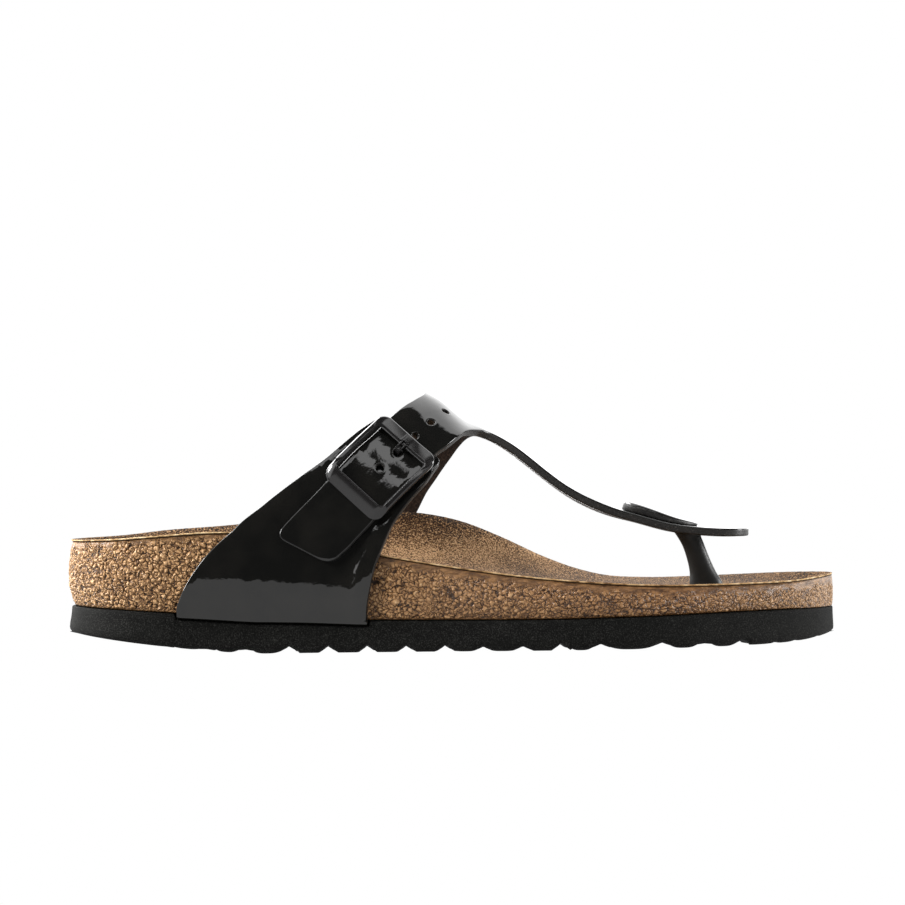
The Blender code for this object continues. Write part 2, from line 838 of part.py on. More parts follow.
def make_footbed(material):
    """The cork body, from the outsole to the liner."""
    def ring(share):
        def place(station, side):
            low = joint(station)
            high = rim(station, side)
            height = low + (high - LINER_THICKNESS - GAP - low) * share
            x, y = plan_point(station, side, side_inset(share))
            return Vector((x, y, height))
        return place

    def under(station, across, straight):
        return Vector((straight.x, straight.y, joint(station)))

    def over(station, across, straight):
        return Vector((straight.x, straight.y, dish(station, across) - LINER_THICKNESS - GAP))

    rings = [ring(share) for share in (0.0, 0.22, 0.45, 0.75, 1.0)]
    footbed = new_object("footbed", *sole_piece(even_stations(52), rings, (2, under), (8, over)), material)
    boolean(footbed, post_hole(), "DIFFERENCE")
    return footbed


def make_liner(material):
    """The suede sheet on the cork, out to the rim."""
    def ring(lip, drop):
        def place(station, side):
            x, y = plan_point(station, side, RIM_TUCK - lip)
            return Vector((x, y, rim(station, side) - drop))
        return place

    def under(station, across, straight):
        return Vector((straight.x, straight.y, dish(station, across) - LINER_THICKNESS))

    def over(station, across, straight):
        return Vector((straight.x, straight.y, dish(station, across)))

    rings = [ring(0.0, LINER_THICKNESS), ring(LINER_LIP, LINER_THICKNESS * 0.8), ring(LINER_LIP, 0.0)]
    liner = new_object("liner", *sole_piece(even_stations(52), rings, (8, under), (8, over)), material)
    boolean(liner, bpy.data.objects["post_hole"], "DIFFERENCE")
    return liner


def quarter_end(station):
    """Girth at which the buckle piece's upper end lies."""
    back, front = QUARTER[11], QUARTER[12]
    return back[1] + (front[1] - back[1]) * (station - back[0]) / (front[0] - back[0])


def leg_twist(station, girth):
    """How far the leg hangs below the last."""
    if not TWIST_BACK < station < TWIST_FRONT:
        return 0.0
    along = sin(pi * (station - TWIST_BACK) / (TWIST_FRONT - TWIST_BACK)) ** 2
    across = (1 + (girth - 2) / LEG_GIRTH) / 2
    return LEG_TWIST * along * across


def thong_lift(station, girth):
    """How far the long strap's inner face stands off the last, where it runs over the buckle piece."""
    full = UPPER_THICKNESS + GAP
    past = (girth - quarter_end(station) - LAP_START) / LAP_RUN
    past = max(0.0, min(1.0, past))
    return full * (1 - past * past * (3 - 2 * past)) - leg_twist(station, girth)


def arm_edge(sign):
    """Places on one edge of the buckled arm, upwards past the buckle."""
    places = []
    for index, (station, girth) in enumerate(ARM[:EDGE_ROWS]):
        ahead = last_point(*ARM[index + 1])
        before = last_point(*ARM[max(index - 1, 0)])
        along, around = tangents(station, girth)
        way = along.cross(around).cross(ahead - before).normalized() * sign
        places.append((*walk(station, girth, way, STRAP_WIDTH / 2), 0.0))
    return places


def leg_edge(side):
    places = []
    for station, outer, inner in LEG:
        share = outer if side == "out" else inner
        places.append(walk(station, 2.0, Vector((0, SIDE[side], 0)), LEG_WIDTH * share / 2))
    return places


def round_hole(station, girth, length, width, count):
    """A flat outline that becomes an oval hole on the last, with its length along the foot."""
    along, around = tangents(station, girth)
    ahead = along.normalized()
    aside = along.cross(around).cross(ahead).normalized()
    spots = []
    for index in range(count):
        angle = 2 * pi * index / count
        way = ahead * cos(angle) * length / 2 + aside * sin(angle) * width / 2
        spots.append(flat(*walk(station, girth, way, way.length, 2)))
    return spots


def thong_outline():
    nodes = [TAIL_BACK] + arm_edge(1)
    nodes += [(*place, 0.0) for place in INSTEP_BACK]
    nodes += [(INNER_MARGIN_BACK, 5.0, 3.0), (INNER_MARGIN_FRONT, 5.0, 3.0)]
    nodes += [(*place, 0.0) for place in INSTEP_FRONT]
    nodes.append(INNER_CROTCH)
    nodes += [(*place, 0.0) for place in leg_edge("in")]
    for side in ("in", "out"):
        end = walk(LEG_END, 2.0, Vector((0, SIDE[side], 0)), LEG_WIDTH * LEG_END_WIDTH / 2)
        nodes.append((LEG_END, end[1], LEG_END_RADIUS))
    nodes += [(*place, 0.0) for place in leg_edge("out")[::-1]]
    nodes.append(OUTER_CROTCH)
    nodes += [(*place, 0.0) for place in ARM_FRONT]
    return nodes + arm_edge(-1)[::-1] + [TAIL_FRONT]


def make_quarter(material):
    """The outer side's piece that carries the buckle."""
    panel = cut_panel(QUARTER, [], PATTERN_PITCH)
    solid = lay_panel(panel, lambda s, g: 0.0, lambda s, g: UPPER_THICKNESS)
    return new_object("quarter", *solid, material)


def make_thong_strap(material):
    """The long strap: the buckled arm, the instep, the inner side and the leg to the toe post."""
    holes = [round_hole(s, g, HOLE_DIAMETER, HOLE_DIAMETER, 10) for s, g in HOLES]
    holes.append(round_hole(POST_AT, 2.0, STEM_LENGTH + 2 * GAP, STEM_THICKNESS + 2 * GAP, 12))
    panel = cut_panel(thong_outline(), holes, PATTERN_PITCH)
    solid = lay_panel(panel, thong_lift, lambda s, g: thong_lift(s, g) + UPPER_THICKNESS)
    return new_object("thong_strap", *solid, material)


class BuckleSeat:
    """The buckle's own directions: along the arm, across it and off the strap."""

    def __init__(self):
        station, girth = HOLES[0]
        self.place = (station, girth)
        self.rest = 2 * UPPER_THICKNESS + 2 * GAP
        self.middle = on_last(station, girth, self.rest)
        along, around = tangents(station, girth)
        self.off = along.cross(around).normalized()
        way = last_point(*HOLES[1]) - last_point(*ARM_START[-1])
        self.ahead = (way - self.off * way.dot(self.off)).normalized()
        self.aside = self.off.cross(self.ahead)

    def point(self, ahead, aside, height):
        """The point over the strap that lies ahead and aside of the buckle's middle."""
        station, girth = self.place
        for _ in range(6):
            spot = on_last(station, girth, self.rest) - self.middle
            miss = Vector((ahead - spot.dot(self.ahead), aside - spot.dot(self.aside)))
            along, around = tangents(station, girth)
            aa, ab = along.dot(self.ahead), around.dot(self.ahead)
            ba, bb = along.dot(self.aside), around.dot(self.aside)
            spread = aa * bb - ab * ba
            station += (miss.x * bb - miss.y * ab) / spread
            girth += (miss.y * aa - miss.x * ba) / spread
        return on_last(station, girth, self.rest) + self.off * height


def rounded_loop(back, front, half_width, radius, corner_parts=3, side_parts=3):
    """A rounded rectangle's points, from back to front and half a width to each side."""
    corners = ((front, half_width, 0), (back, half_width, 1),
               (back, -half_width, 2), (front, -half_width, 3))
    arcs = []
    for ahead, aside, quarter in corners:
        middle = (ahead - radius * (1 if ahead == front else -1),
                  aside - radius * (1 if aside > 0 else -1))
        arc = []
        for part in range(corner_parts + 1):
            angle = (quarter + part / corner_parts) * pi / 2
            arc.append((middle[0] + radius * cos(angle), middle[1] + radius * sin(angle)))
        arcs.append(arc)
    loop = []
    for index, arc in enumerate(arcs):
        loop += arc
        start, end = arc[-1], arcs[(index + 1) % 4][0]
        for part in range(1, side_parts):
            share = part / side_parts
            loop.append((start[0] + (end[0] - start[0]) * share, start[1] + (end[1] - start[1]) * share))
    return loop


def make_buckle_frame(material):
    seat = BuckleSeat()
    back, front = -BUCKLE_LENGTH / 2, BUCKLE_LENGTH / 2
    half = BUCKLE_WIDTH / 2
    soft = 0.5
    inner = (back + REAR_BAR, front - FRONT_BAR, half - RAIL, BUCKLE_CORNER - RAIL)
    loops = [
        (rounded_loop(*inner), 0.0),
        (rounded_loop(back, front, half, BUCKLE_CORNER), 0.0),
        (rounded_loop(back, front, half, BUCKLE_CORNER), BUCKLE_DEPTH - soft),
        (rounded_loop(back + soft, front - soft, half - soft, BUCKLE_CORNER - soft), BUCKLE_DEPTH),
        (rounded_loop(*inner), BUCKLE_DEPTH),
    ]
    rings = [[seat.point(a, b, height) for a, b in loop] for loop, height in loops]
    points, faces = stack(rings, closed=False)
    count = len(rings[0])
    top = (len(rings) - 1) * count
    for index in range(count):
        ahead = (index + 1) % count
        faces.append((top + index, top + ahead, ahead, index))
    return new_object("buckle_frame", points, faces, material)


def make_buckle_prong(material):
    """The prong's tip on the strap, and the pin below it that comes up through the strap's hole."""
    seat = BuckleSeat()
    tip = BUCKLE_LENGTH / 2 - FRONT_BAR - GAP
    hole = (on_last(*HOLES[1], seat.rest) - seat.middle).dot(seat.ahead)

    def box(low, high, length, start, width):
        corners = [(start, -width / 2), (start + length, -width / 2),
                   (start + length, width / 2), (start, width / 2)]
        return [[seat.point(a, b, height) for a, b in corners] for height in (low, high)]

    start = hole - PRONG_PIN
    prong = new_object("buckle_prong", *stack(box(0.0, PRONG_HEIGHT, tip - start, start, PRONG_WIDTH)),
                       material)
    deep = -(UPPER_THICKNESS + GAP)
    pin = box(deep, PRONG_HEIGHT / 2, PRONG_PIN, hole - PRONG_PIN / 2, PRONG_PIN)
    boolean(prong, new_object("prong_pin", *stack(pin)), "UNION")
    return prong


def oval(middle_x, middle_y, length, width, height, count=16):
    ring = []
    for index in range(count):
        angle = 2 * pi * index / count
        x = middle_x + cos(angle) * length / 2
        y = middle_y + sin(angle) * width / 2
        ring.append(Vector((x, y, height(x) if callable(height) else height)))
    return ring


def strap_under(x):
    """Height of the leg's underside over the last's ridge."""
    return last_point(x / SOLE_LENGTH, 2.0).z


def post_foot():
    """The middle of the toe post where it stands on the liner, and the liner's height there."""
    x = POST_AT * SOLE_LENGTH + POST_LEAN * POST[0][1]
    y = last_point(POST_AT, 2.0).y
    outer, inner = (plan_edge(x / SOLE_LENGTH, side) for side in ("out", "in"))
    across = (2 * y - outer - inner) / (inner - outer)
    return x, y, dish(x / SOLE_LENGTH, across)


def post_hole():
    """The cut for the toe post's root, through the liner and down into the cork."""
    x, y, top = post_foot()
    length = POST_LENGTH * POST[0][2] + 2 * GAP
    width = POST_THICKNESS * POST[0][3] + 2 * GAP
    rings = [oval(x, y, length, width, top + height) for height in (-POST_ROOT - GAP, UPPER_THICKNESS)]
    return new_object("post_hole", *stack(rings))


def make_toe_post(material):
    x, y, low = post_foot()
    high = strap_under(POST_AT * SOLE_LENGTH) - GAP
    rings = [oval(x, y, POST_LENGTH * POST[0][2], POST_THICKNESS * POST[0][3], low - POST_ROOT)]
    for share, lean, length, width in POST[:-1]:
        middle = POST_AT * SOLE_LENGTH + POST_LEAN * lean
        height = low + (high - low) * share
        rings.append(oval(middle, y, POST_LENGTH * length, POST_THICKNESS * width, height))
    _, lean, length, width = POST[-1]
    middle = POST_AT * SOLE_LENGTH + POST_LEAN * lean

    def under_strap(x):
        return strap_under(x) - GAP

    rings.append(oval(middle, y, POST_LENGTH * length, POST_THICKNESS * width, under_strap))
    stem = oval(middle, y, STEM_LENGTH, STEM_THICKNESS, under_strap)
    off = on_last(POST_AT, 2.0, UPPER_THICKNESS) - last_point(POST_AT, 2.0)
    rings += [stem, [spot + off for spot in stem]]
    return new_object("toe_post", *stack(rings), material)


def make_post_button(material):
    """The oval cap over the toe post, thick at its rear end and thin at its front."""
    middle_x = BUTTON_AT * SOLE_LENGTH
    parts = 24
    rest = UPPER_THICKNESS + GAP

    def place(size, angle, height):
        station = (middle_x + cos(angle) * size * BUTTON_LENGTH / 2) / SOLE_LENGTH
        aside = sin(angle) * size * BUTTON_WIDTH / 2
        way = Vector((0, 1 if aside > 0 else -1, 0))
        girth = walk(station, 2.0, way, abs(aside))[1] if abs(aside) > 0.01 else 2.0
        share = 0.5 - 0.5 * cos(angle) * size
        thick = BUTTON_FRONT + (BUTTON_REAR - BUTTON_FRONT) * sin(share * pi / 2)
        return on_last(station, girth, rest + thick * height)

    levels = [(0.45, 0.0), (0.97, 0.0), (1.0, 0.3), (1.0, 0.75), (0.93, 1.0), (0.45, 1.12)]
    rings = [[place(size, 2 * pi * index / parts, height) for index in range(parts)]
             for size, height in levels]
    return new_object("post_button", *stack(rings), material)


def centre_on_floor():
    """Moves everything so that the origin is the middle of the bounding box's underside."""
    meshes = [item.data for item in bpy.data.objects if not item.hide_render]
    corners = [vertex.co for mesh in meshes for vertex in mesh.vertices]
    middle = [(min(c[axis] for c in corners) + max(c[axis] for c in corners)) / 2 for axis in (0, 1)]
    shift = Matrix.Translation((-middle[0], -middle[1], -min(c[2] for c in corners)))
    for item in bpy.data.objects:
        item.data.transform(shift)


def main():
    for item in list(bpy.data.objects):
        bpy.data.objects.remove(item, do_unlink=True)
    foam = new_material("black_foam", (0.012, 0.012, 0.012), 0.75)
    cork = new_material("cork", (0.40, 0.24, 0.11), 0.8)
    suede = new_material("brown_suede", (0.30, 0.18, 0.09), 0.95)
    patent = new_material("black_patent", (0.006, 0.006, 0.006), 0.08)
    metal = new_material("black_metal", (0.02, 0.02, 0.02), 0.2, 0.6)
    rubber = new_material("black_rubber", (0.01, 0.01, 0.01), 0.45)
    make_outsole(foam)
    make_footbed(cork)
    make_liner(suede)
    make_quarter(patent)
    make_thong_strap(patent)
    make_buckle_frame(metal)
    make_buckle_prong(metal)
    make_toe_post(rubber)
    make_post_button(patent)
    centre_on_floor()


main()
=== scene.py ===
# %% [markdown]
# # A toe post sandal, right foot
#
# The sandal is a cork footbed on a foam sole, with two patent straps, a buckle, and a rubber post between
# the toes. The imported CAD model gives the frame: every finished piece below takes the place of one of its
# nodes, in the same place and at the same size. Lengths are millimetres until a mesh is made.

# %% Load the frame
import bpy
import bmesh
import numpy as np
from math import acos, ceil, cos, floor, hypot, pi, radians, sin
from mathutils import Matrix, Vector
from mathutils.geometry import delaunay_2d_cdt


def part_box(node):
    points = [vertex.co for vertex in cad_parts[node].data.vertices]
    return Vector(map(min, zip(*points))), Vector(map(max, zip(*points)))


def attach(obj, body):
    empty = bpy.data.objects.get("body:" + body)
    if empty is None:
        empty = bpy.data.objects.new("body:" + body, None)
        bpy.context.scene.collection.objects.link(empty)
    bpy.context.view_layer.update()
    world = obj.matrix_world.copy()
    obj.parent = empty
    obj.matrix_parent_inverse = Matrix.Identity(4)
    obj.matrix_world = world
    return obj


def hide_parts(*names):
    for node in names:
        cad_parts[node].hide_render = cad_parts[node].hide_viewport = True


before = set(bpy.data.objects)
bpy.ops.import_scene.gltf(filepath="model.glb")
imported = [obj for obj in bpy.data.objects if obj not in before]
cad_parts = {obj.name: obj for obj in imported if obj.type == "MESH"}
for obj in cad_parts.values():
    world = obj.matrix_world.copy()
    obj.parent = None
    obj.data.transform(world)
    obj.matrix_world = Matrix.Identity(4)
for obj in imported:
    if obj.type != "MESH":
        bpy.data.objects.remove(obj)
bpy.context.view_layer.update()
MM = 0.001


# %% [markdown]
# ## The last
#
# A shoe is built on a last, a solid foot shape. One could model every strap by hand and push it until it
# fits the sole, but a strap that follows the same last as the sole fits by itself. So the last comes first,
# as a function. A station runs from 0 at the heel to 1 at the toe, and a girth runs round the foot: 0 is
# the lower edge of the footbed's outer side, 1 its rim, 2 the ridge of the instep, 3 the inner rim and 4
# the lower edge there. The short tables are the same shares of the same sizes that the CAD part uses.

# %% Sizes of the sole and the last
SOLE_LENGTH = 255.0
HEEL_WIDTH = 66.0
WAIST_WIDTH = 67.0
BALL_WIDTH = 94.0
TOE_SWING = 12.0
HEEL_RISE = 7.0
TOE_SPRING = 2.2
FOAM_THICKNESS = 10.5
RIM_HEIGHT = 40.0
SEAT_HEIGHT = 25.0
INSTEP_HEIGHT = 80.0
RIDGE_SWING = 15.0
CORK_TUCK = 2.0
RIM_TUCK = 1.4
LINER_LIP = 0.5
LINER_THICKNESS = 1.5
WIDEST = 0.45  # the share of the cork's height at which its side stands out furthest
SIDE_FULLNESS = 0.60  # how straight the straps rise from the rim
HEEL_FLAT = 0.25
BALL_FLAT = 0.70
HEEL_CUP = 0.16
TOE_CUP = 0.07
UPRIGHT_FROM, UPRIGHT = 0.90, 0.8  # from this station on, this share of the sides' insets goes
DISH = 3.0
GAP = 0.3
MARGIN = 9.0
FOLD_RADIUS = 0.4
UPPER_THICKNESS = 2.6
SIDE = {"out": -1, "in": 1}

# For each width: station, share of the width, middle line towards the inner side
PLAN = [(station, share * width, swing * TOE_SWING) for width, rows in (
    (HEEL_WIDTH, [(0.00, 0.00, 0.00), (0.02, 0.53, 0.00), (0.06, 0.82, 0.00), (0.12, 0.97, -0.02),
                  (0.18, 1.00, -0.05)]),
    (WAIST_WIDTH, [(0.28, 0.99, -0.18), (0.38, 1.00, -0.38)]),
    (BALL_WIDTH, [(0.48, 0.77, -0.50), (0.58, 0.885, -0.45), (0.66, 0.975, -0.31), (0.72, 1.00, -0.18),
                  (0.80, 0.945, 0.00), (0.87, 0.83, 0.25), (0.93, 0.655, 0.48), (0.97, 0.436, 0.72),
                  (0.99, 0.24, 0.92), (1.00, 0.00, 1.00)]),
) for station, share, swing in rows]

# Station, foam, footbed's middle, outer rim, inner rim
HEIGHTS = [
    (0.00, 0.85, 1.09, 0.940, 0.940),
    (0.06, 0.97, 1.04, 0.950, 0.950),
    (0.12, 1.06, 1.01, 0.973, 0.985),
    (0.20, 1.13, 0.985, 0.998, 1.015),
    (0.30, 1.10, 1.00, 0.943, 1.073),
    (0.38, 1.02, 1.025, 0.830, 1.110),
    (0.45, 0.99, 1.01, 0.745, 1.100),
    (0.51, 0.98, 0.95, 0.680, 1.020),
    (0.565, 0.97, 0.87, 0.628, 0.875),
    (0.62, 0.97, 0.785, 0.585, 0.703),
    (0.66, 0.98, 0.73, 0.560, 0.603),
    (0.70, 0.99, 0.695, 0.540, 0.535),
    (0.76, 1.01, 0.69, 0.518, 0.505),
    (0.82, 1.03, 0.68, 0.510, 0.508),
    (0.88, 1.02, 0.67, 0.510, 0.520),
    (0.94, 0.96, 0.675, 0.515, 0.535),
    (1.00, 0.82, 0.69, 0.545, 0.545),
]

# Station, ridge height, ridge towards the inner side, fullness of the crown
LAST = [
    (0.10, 1.90, 0.07, 0.55),
    (0.20, 1.63, 0.07, 0.55),
    (0.30, 1.38, 0.13, 0.55),
    (0.40, 1.15, 0.27, 0.55),
    (0.44, 1.065, 0.35, 0.55),
    (0.46, 1.025, 0.39, 0.55),
    (0.48, 1.003, 0.43, 0.56),
    (0.50, 0.966, 0.46, 0.58),
    (0.52, 0.924, 0.49, 0.60),
    (0.54, 0.883, 0.52, 0.63),
    (0.56, 0.846, 0.54, 0.66),
    (0.58, 0.802, 0.57, 0.70),
    (0.60, 0.750, 0.60, 0.72),
    (0.62, 0.696, 0.63, 0.74),
    (0.64, 0.647, 0.66, 0.75),
    (0.66, 0.608, 0.69, 0.75),
    (0.68, 0.576, 0.73, 0.75),
    (0.71, 0.534, 0.78, 0.75),
    (0.75, 0.492, 0.85, 0.75),
    (0.79, 0.458, 0.91, 0.75),
    (0.82, 0.445, 0.95, 0.75),
    (0.89, 0.4325, 0.99, 0.75),
    (1.00, 0.430, 1.00, 0.75),
]
print("last tables:", len(PLAN), len(HEIGHTS), len(LAST), "rows")


# %% Curves through the tables
def bend_between(first, rise, start, end, t):
    """A curve from a value over a rise, with a slope at its start and its end; t runs from 0 to 1."""
    return first + start * t + (3 * rise - 2 * start - end) * t ** 2 + (start + end - 2 * rise) * t ** 3


def smooth(rows, column, at, key=lambda value: value):
    """A smooth curve through a table's column, read at a station."""
    places = [key(row[0]) for row in rows]
    values = [row[column] for row in rows]
    place = key(at)
    left = 0
    while left < len(places) - 2 and places[left + 1] <= place:
        left += 1

    def chord(start, end):
        return (values[end] - values[start]) / (places[end] - places[start])

    def slope(index):
        before, after = max(index - 1, 0), min(index + 1, len(places) - 1)
        if index in (before, after):
            return chord(before, after)
        weight = (places[index] - places[before]) / (places[after] - places[before])
        return chord(before, index) * (1 - weight) + chord(index, after) * weight

    run = places[left + 1] - places[left]
    return bend_between(values[left], values[left + 1] - values[left], slope(left) * run,
                        slope(left + 1) * run, (place - places[left]) / run)


def turn(station):
    return acos(max(-1.0, min(1.0, 1 - 2 * station)))


def station_at(angle):
    return (1 - cos(angle)) / 2


def ease(value):
    """0 below 0, 1 above 1, and a smooth rise between them."""
    value = max(0.0, min(1.0, value))
    return value * value * (3 - 2 * value)


def finely(rows, column, key=lambda value: value, count=2400):
    """The same curve, worked out once at many stations, which makes reading it fast."""
    stations = np.linspace(-0.01, 1.01, count)
    values = np.array([smooth(rows, column, min(max(s, 0.0), 1.0), key) for s in stations])
    return lambda station: float(np.interp(station, stations, values))


plan_width, plan_middle = finely(PLAN, 1, turn), finely(PLAN, 2, turn)
foam_height, bed_height = finely(HEIGHTS, 1), finely(HEIGHTS, 2)
rim_height = {"out": finely(HEIGHTS, 3), "in": finely(HEIGHTS, 4)}
ridge_height, ridge_swing = finely(LAST, 1), finely(LAST, 2)
crown_fullness = finely(LAST, 3)
print("widest plan:", round(max(plan_width(s / 200) for s in range(201)), 1), "mm")


# %% The sole's outline, heights and dish
def plan_edge(station, side):
    if station < 0.03 or station > 0.97:  # the outline turns too fast there for the fine table
        return smooth(PLAN, 2, station, turn) + SIDE[side] * smooth(PLAN, 1, station, turn) / 2
    return plan_middle(station) + SIDE[side] * plan_width(station) / 2


def plan_point(station, side, inset):
    """A point of the plan's outline, moved inwards square to the outline."""
    angle = turn(station)
    low, high = station_at(max(angle - 0.001, 0.0)), station_at(min(angle + 0.001, pi))
    along = SOLE_LENGTH * (high - low)
    across = plan_edge(high, side) - plan_edge(low, side)
    length = hypot(along, across)
    x = SOLE_LENGTH * station + inset * SIDE[side] * across / length
    return x, plan_edge(station, side) - inset * SIDE[side] * along / length


def ground(station, toe_curve=3):
    """Height of the joint's line over the floor: the heel's rise, the flat and the toe's spring."""
    if station < HEEL_FLAT:
        return HEEL_RISE * (1 - station / HEEL_FLAT) ** 1.3
    if station > BALL_FLAT:
        return TOE_SPRING * ((station - BALL_FLAT) / (1 - BALL_FLAT)) ** toe_curve
    return 0.0


def toe_upright(station):
    """Near the toe the sides stand upright: the share that is left of their insets."""
    return 1 - UPRIGHT * ease((station - UPRIGHT_FROM) / 0.10)


def joint(station):
    return ground(station) + FOAM_THICKNESS * foam_height(station)


def rim(station, side):
    return RIM_HEIGHT * rim_height[side](station)


def dish(station, across):
    """Height of the liner's top; across runs from -1 at the outer rim to 1 at the inner one."""
    heel = max(0.0, 1 - station / HEEL_CUP)
    toe = max(0.0, 1 - (1 - station) / TOE_CUP)
    lift = min(1.0, abs(across) ** DISH + heel ** DISH + toe ** DISH)
    edge = rim(station, "out") * (1 - across) / 2 + rim(station, "in") * (1 + across) / 2
    bed = SEAT_HEIGHT * bed_height(station)
    return bed + (edge - bed) * lift


def side_inset(share):
    """How far the footbed's side lies in from the plan, at a share of its height."""
    if share < WIDEST:
        return CORK_TUCK * ((WIDEST - share) / WIDEST) ** 2
    return RIM_TUCK * ((share - WIDEST) / (1 - WIDEST)) ** 2


def strap_inset(share):
    """How far the straps' inner face lies in from the plan, smoothly clear of the liner's lip."""
    if share < WIDEST:
        return side_inset(share) - GAP
    lip = RIM_TUCK - LINER_LIP
    return lip * ((share - WIDEST) / (1 - WIDEST)) ** (2 * RIM_TUCK / lip) - GAP


lowest_y = min(plan_edge(s / 400, "out") for s in range(401))
SHIFT = Vector((-SOLE_LENGTH / 2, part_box("footbed")[0][1] / MM - lowest_y, 0.0))
print("the last's origin in the part's frame:", tuple(round(v, 2) for v in SHIFT), "mm")


# %% The straps' side of the last
def last_point(station, girth):
    """The inner face of the straps."""
    side = "out" if girth <= 2 else "in"
    sign = SIDE[side]
    level = girth if side == "out" else 4 - girth
    low, high = joint(station), rim(station, side)
    x, edge = SOLE_LENGTH * station, plan_edge(station, side)
    fold_top = low - GAP + FOLD_RADIUS
    if level <= 1:
        height = fold_top + (high - fold_top) * max(level, 0.0)
        y = edge - sign * strap_inset((height - low) / (high - low))
        if level >= 0:
            return Vector((x, y, height))
        reach = -level * MARGIN
        angle = min(reach / FOLD_RADIUS, pi / 2)
        inward = FOLD_RADIUS * (1 - cos(angle)) + max(0.0, reach - FOLD_RADIUS * pi / 2)
        return Vector((x, y - sign * inward, fold_top - FOLD_RADIUS * sin(angle)))
    t = level - 1
    rim_y = edge - sign * strap_inset(1.0)
    ridge_z = INSTEP_HEIGHT * ridge_height(station)
    ridge_y = RIDGE_SWING * ridge_swing(station)
    rise = SIDE_FULLNESS * (ridge_z - high)
    lean = 2 * RIM_TUCK / (1 - WIDEST) / (high - low)
    side_y = rim_y - sign * rise * lean
    crown_y = ridge_y + crown_fullness(station) * (rim_y - ridge_y)
    a, b, c, d = (1 - t) ** 3, 3 * (1 - t) ** 2 * t, 3 * (1 - t) * t ** 2, t ** 3
    return Vector((x, a * rim_y + b * side_y + c * crown_y + d * ridge_y,
                   a * high + b * (high + rise) + (c + d) * ridge_z))


def tangents(station, girth):
    step = 0.0005
    along = (last_point(station + step, girth) - last_point(station - step, girth)) / (2 * step)
    around = (last_point(station, girth + step) - last_point(station, girth - step)) / (2 * step)
    return along, around


def normal(station, girth):
    along, around = tangents(station, girth)
    return along.cross(around).normalized()


def on_last(station, girth, height):
    return last_point(station, girth) + normal(station, girth) * height


def walk(station, girth, way, distance, steps=4):
    """The place reached by going a distance over the last, as near to a direction as it allows."""
    _, around = tangents(station, girth)
    girth += 0.001 if around.dot(way) > 0 else -0.001  # off the ridge, where the two sides meet
    for _ in range(steps):
        along, around = tangents(station, girth)
        aa, ab, bb = along.dot(along), along.dot(around), around.dot(around)
        pa, pb = along.dot(way), around.dot(way)
        spread = aa * bb - ab * ab
        ds, dg = (pa * bb - pb * ab) / spread, (pb * aa - pa * ab) / spread
        length = (along * ds + around * dg).length
        station += ds / length * distance / steps
        girth += dg / length * distance / steps
    return station, girth


print("instep ridge:", tuple(round(v, 1) for v in last_point(0.5, 2.0)), "mm")

# %% [markdown]
# ## From points to a piece
#
# Every piece ends as one mesh object at the origin, unturned, so that its patterns can read plain object
# coordinates. A small function makes it from points in millimetres, and another one fits a grid of points
# between an outer and an inner rim, which serves the foam, the cork and the suede alike.


# %% Make a mesh piece
def show(name, data):
    """Puts an object into the scene."""
    shown = bpy.data.objects.new(name, data)
    bpy.context.scene.collection.objects.link(shown)
    return shown


def new_piece(name, points, faces, finishes, finish_of=None):
    """A smooth mesh object from points on the last in millimetres, with its faces turned outwards."""
    mesh = bpy.data.meshes.new(name)
    mesh.from_pydata([(Vector(point) + SHIFT) * MM for point in points], [], faces)
    for finish in finishes:
        mesh.materials.append(finish)
    if finish_of is not None:
        mesh.polygons.foreach_set("material_index", finish_of)
    work = bmesh.new()
    work.from_mesh(mesh)
    bmesh.ops.recalc_face_normals(work, faces=work.faces)
    work.to_mesh(mesh)
    work.free()
    mesh.shade_smooth()
    print(name, len(mesh.polygons), "faces")
    return show(name, mesh)


def round_angles(count, start=0.0):
    return [2 * pi * (index + start) / count for index in range(count)]


def bridge(low, high):
    """Faces between two rings of corners."""
    ahead = [*range(1, len(low)), 0]
    return [(low[index], low[after], high[after], high[index]) for index, after in enumerate(ahead)]


def stack(rings, closed=True):
    """Faces that join rings of equal length, with the first and last ring filled in."""
    points = [point for ring in rings for point in ring]
    rows = [range(start, start + len(rings[0])) for start in range(0, len(points), len(rings[0]))]
    faces = [face for low, high in zip(rows, rows[1:]) for face in bridge(low, high)]
    if closed:
        faces += [tuple(rows[0]), tuple(rows[-1])]
    return points, faces


def sole_piece(stations, rings, under, over):
    """A solid with the sole's plan: rings from its lower to its upper edge, and two filled faces."""
    count = len(stations)
    sides = []
    for ring in rings:
        outer = [ring(station, "out") for station in stations]
        inner = [ring(station, "in") for station in stations[1:-1]]
        sides.append(outer + inner[::-1])
    points, faces = stack(sides, closed=False)
    side_faces = len(faces)
    size = len(sides[0])
    for level, (rows, place) in ((0, under), (len(rings) - 1, over)):
        grid = []
        for index, station in enumerate(stations):
            outer = level * size + index
            inner = level * size + size - index if 0 < index < count - 1 else outer
            line = [outer]
            if outer != inner:
                for row in range(1, rows):
                    straight = Vector(points[outer]).lerp(Vector(points[inner]), row / rows)
                    points.append(place(station, 2 * row / rows - 1, straight))
                    line.append(len(points) - 1)
                line.append(inner)
            grid.append(line)
        for a, b in zip(grid, grid[1:]):
            for row in range(rows):
                corners = (a[min(row, len(a) - 1)], b[min(row, len(b) - 1)],
                           b[min(row + 1, len(b) - 1)], a[min(row + 1, len(a) - 1)])
                face = tuple(dict.fromkeys(corners))
                if len(face) > 2:
                    faces.append(face)
    return points, faces, side_faces


def lay_at(height):
    """Keeps a sole's surface as it is in the plan, and lays it at a height."""
    return lambda station, across, straight: Vector((straight.x, straight.y, height(station, across)))


def even_stations(count):
    return [station_at(pi * index / count) for index in range(count + 1)]


print("piece builders ready")

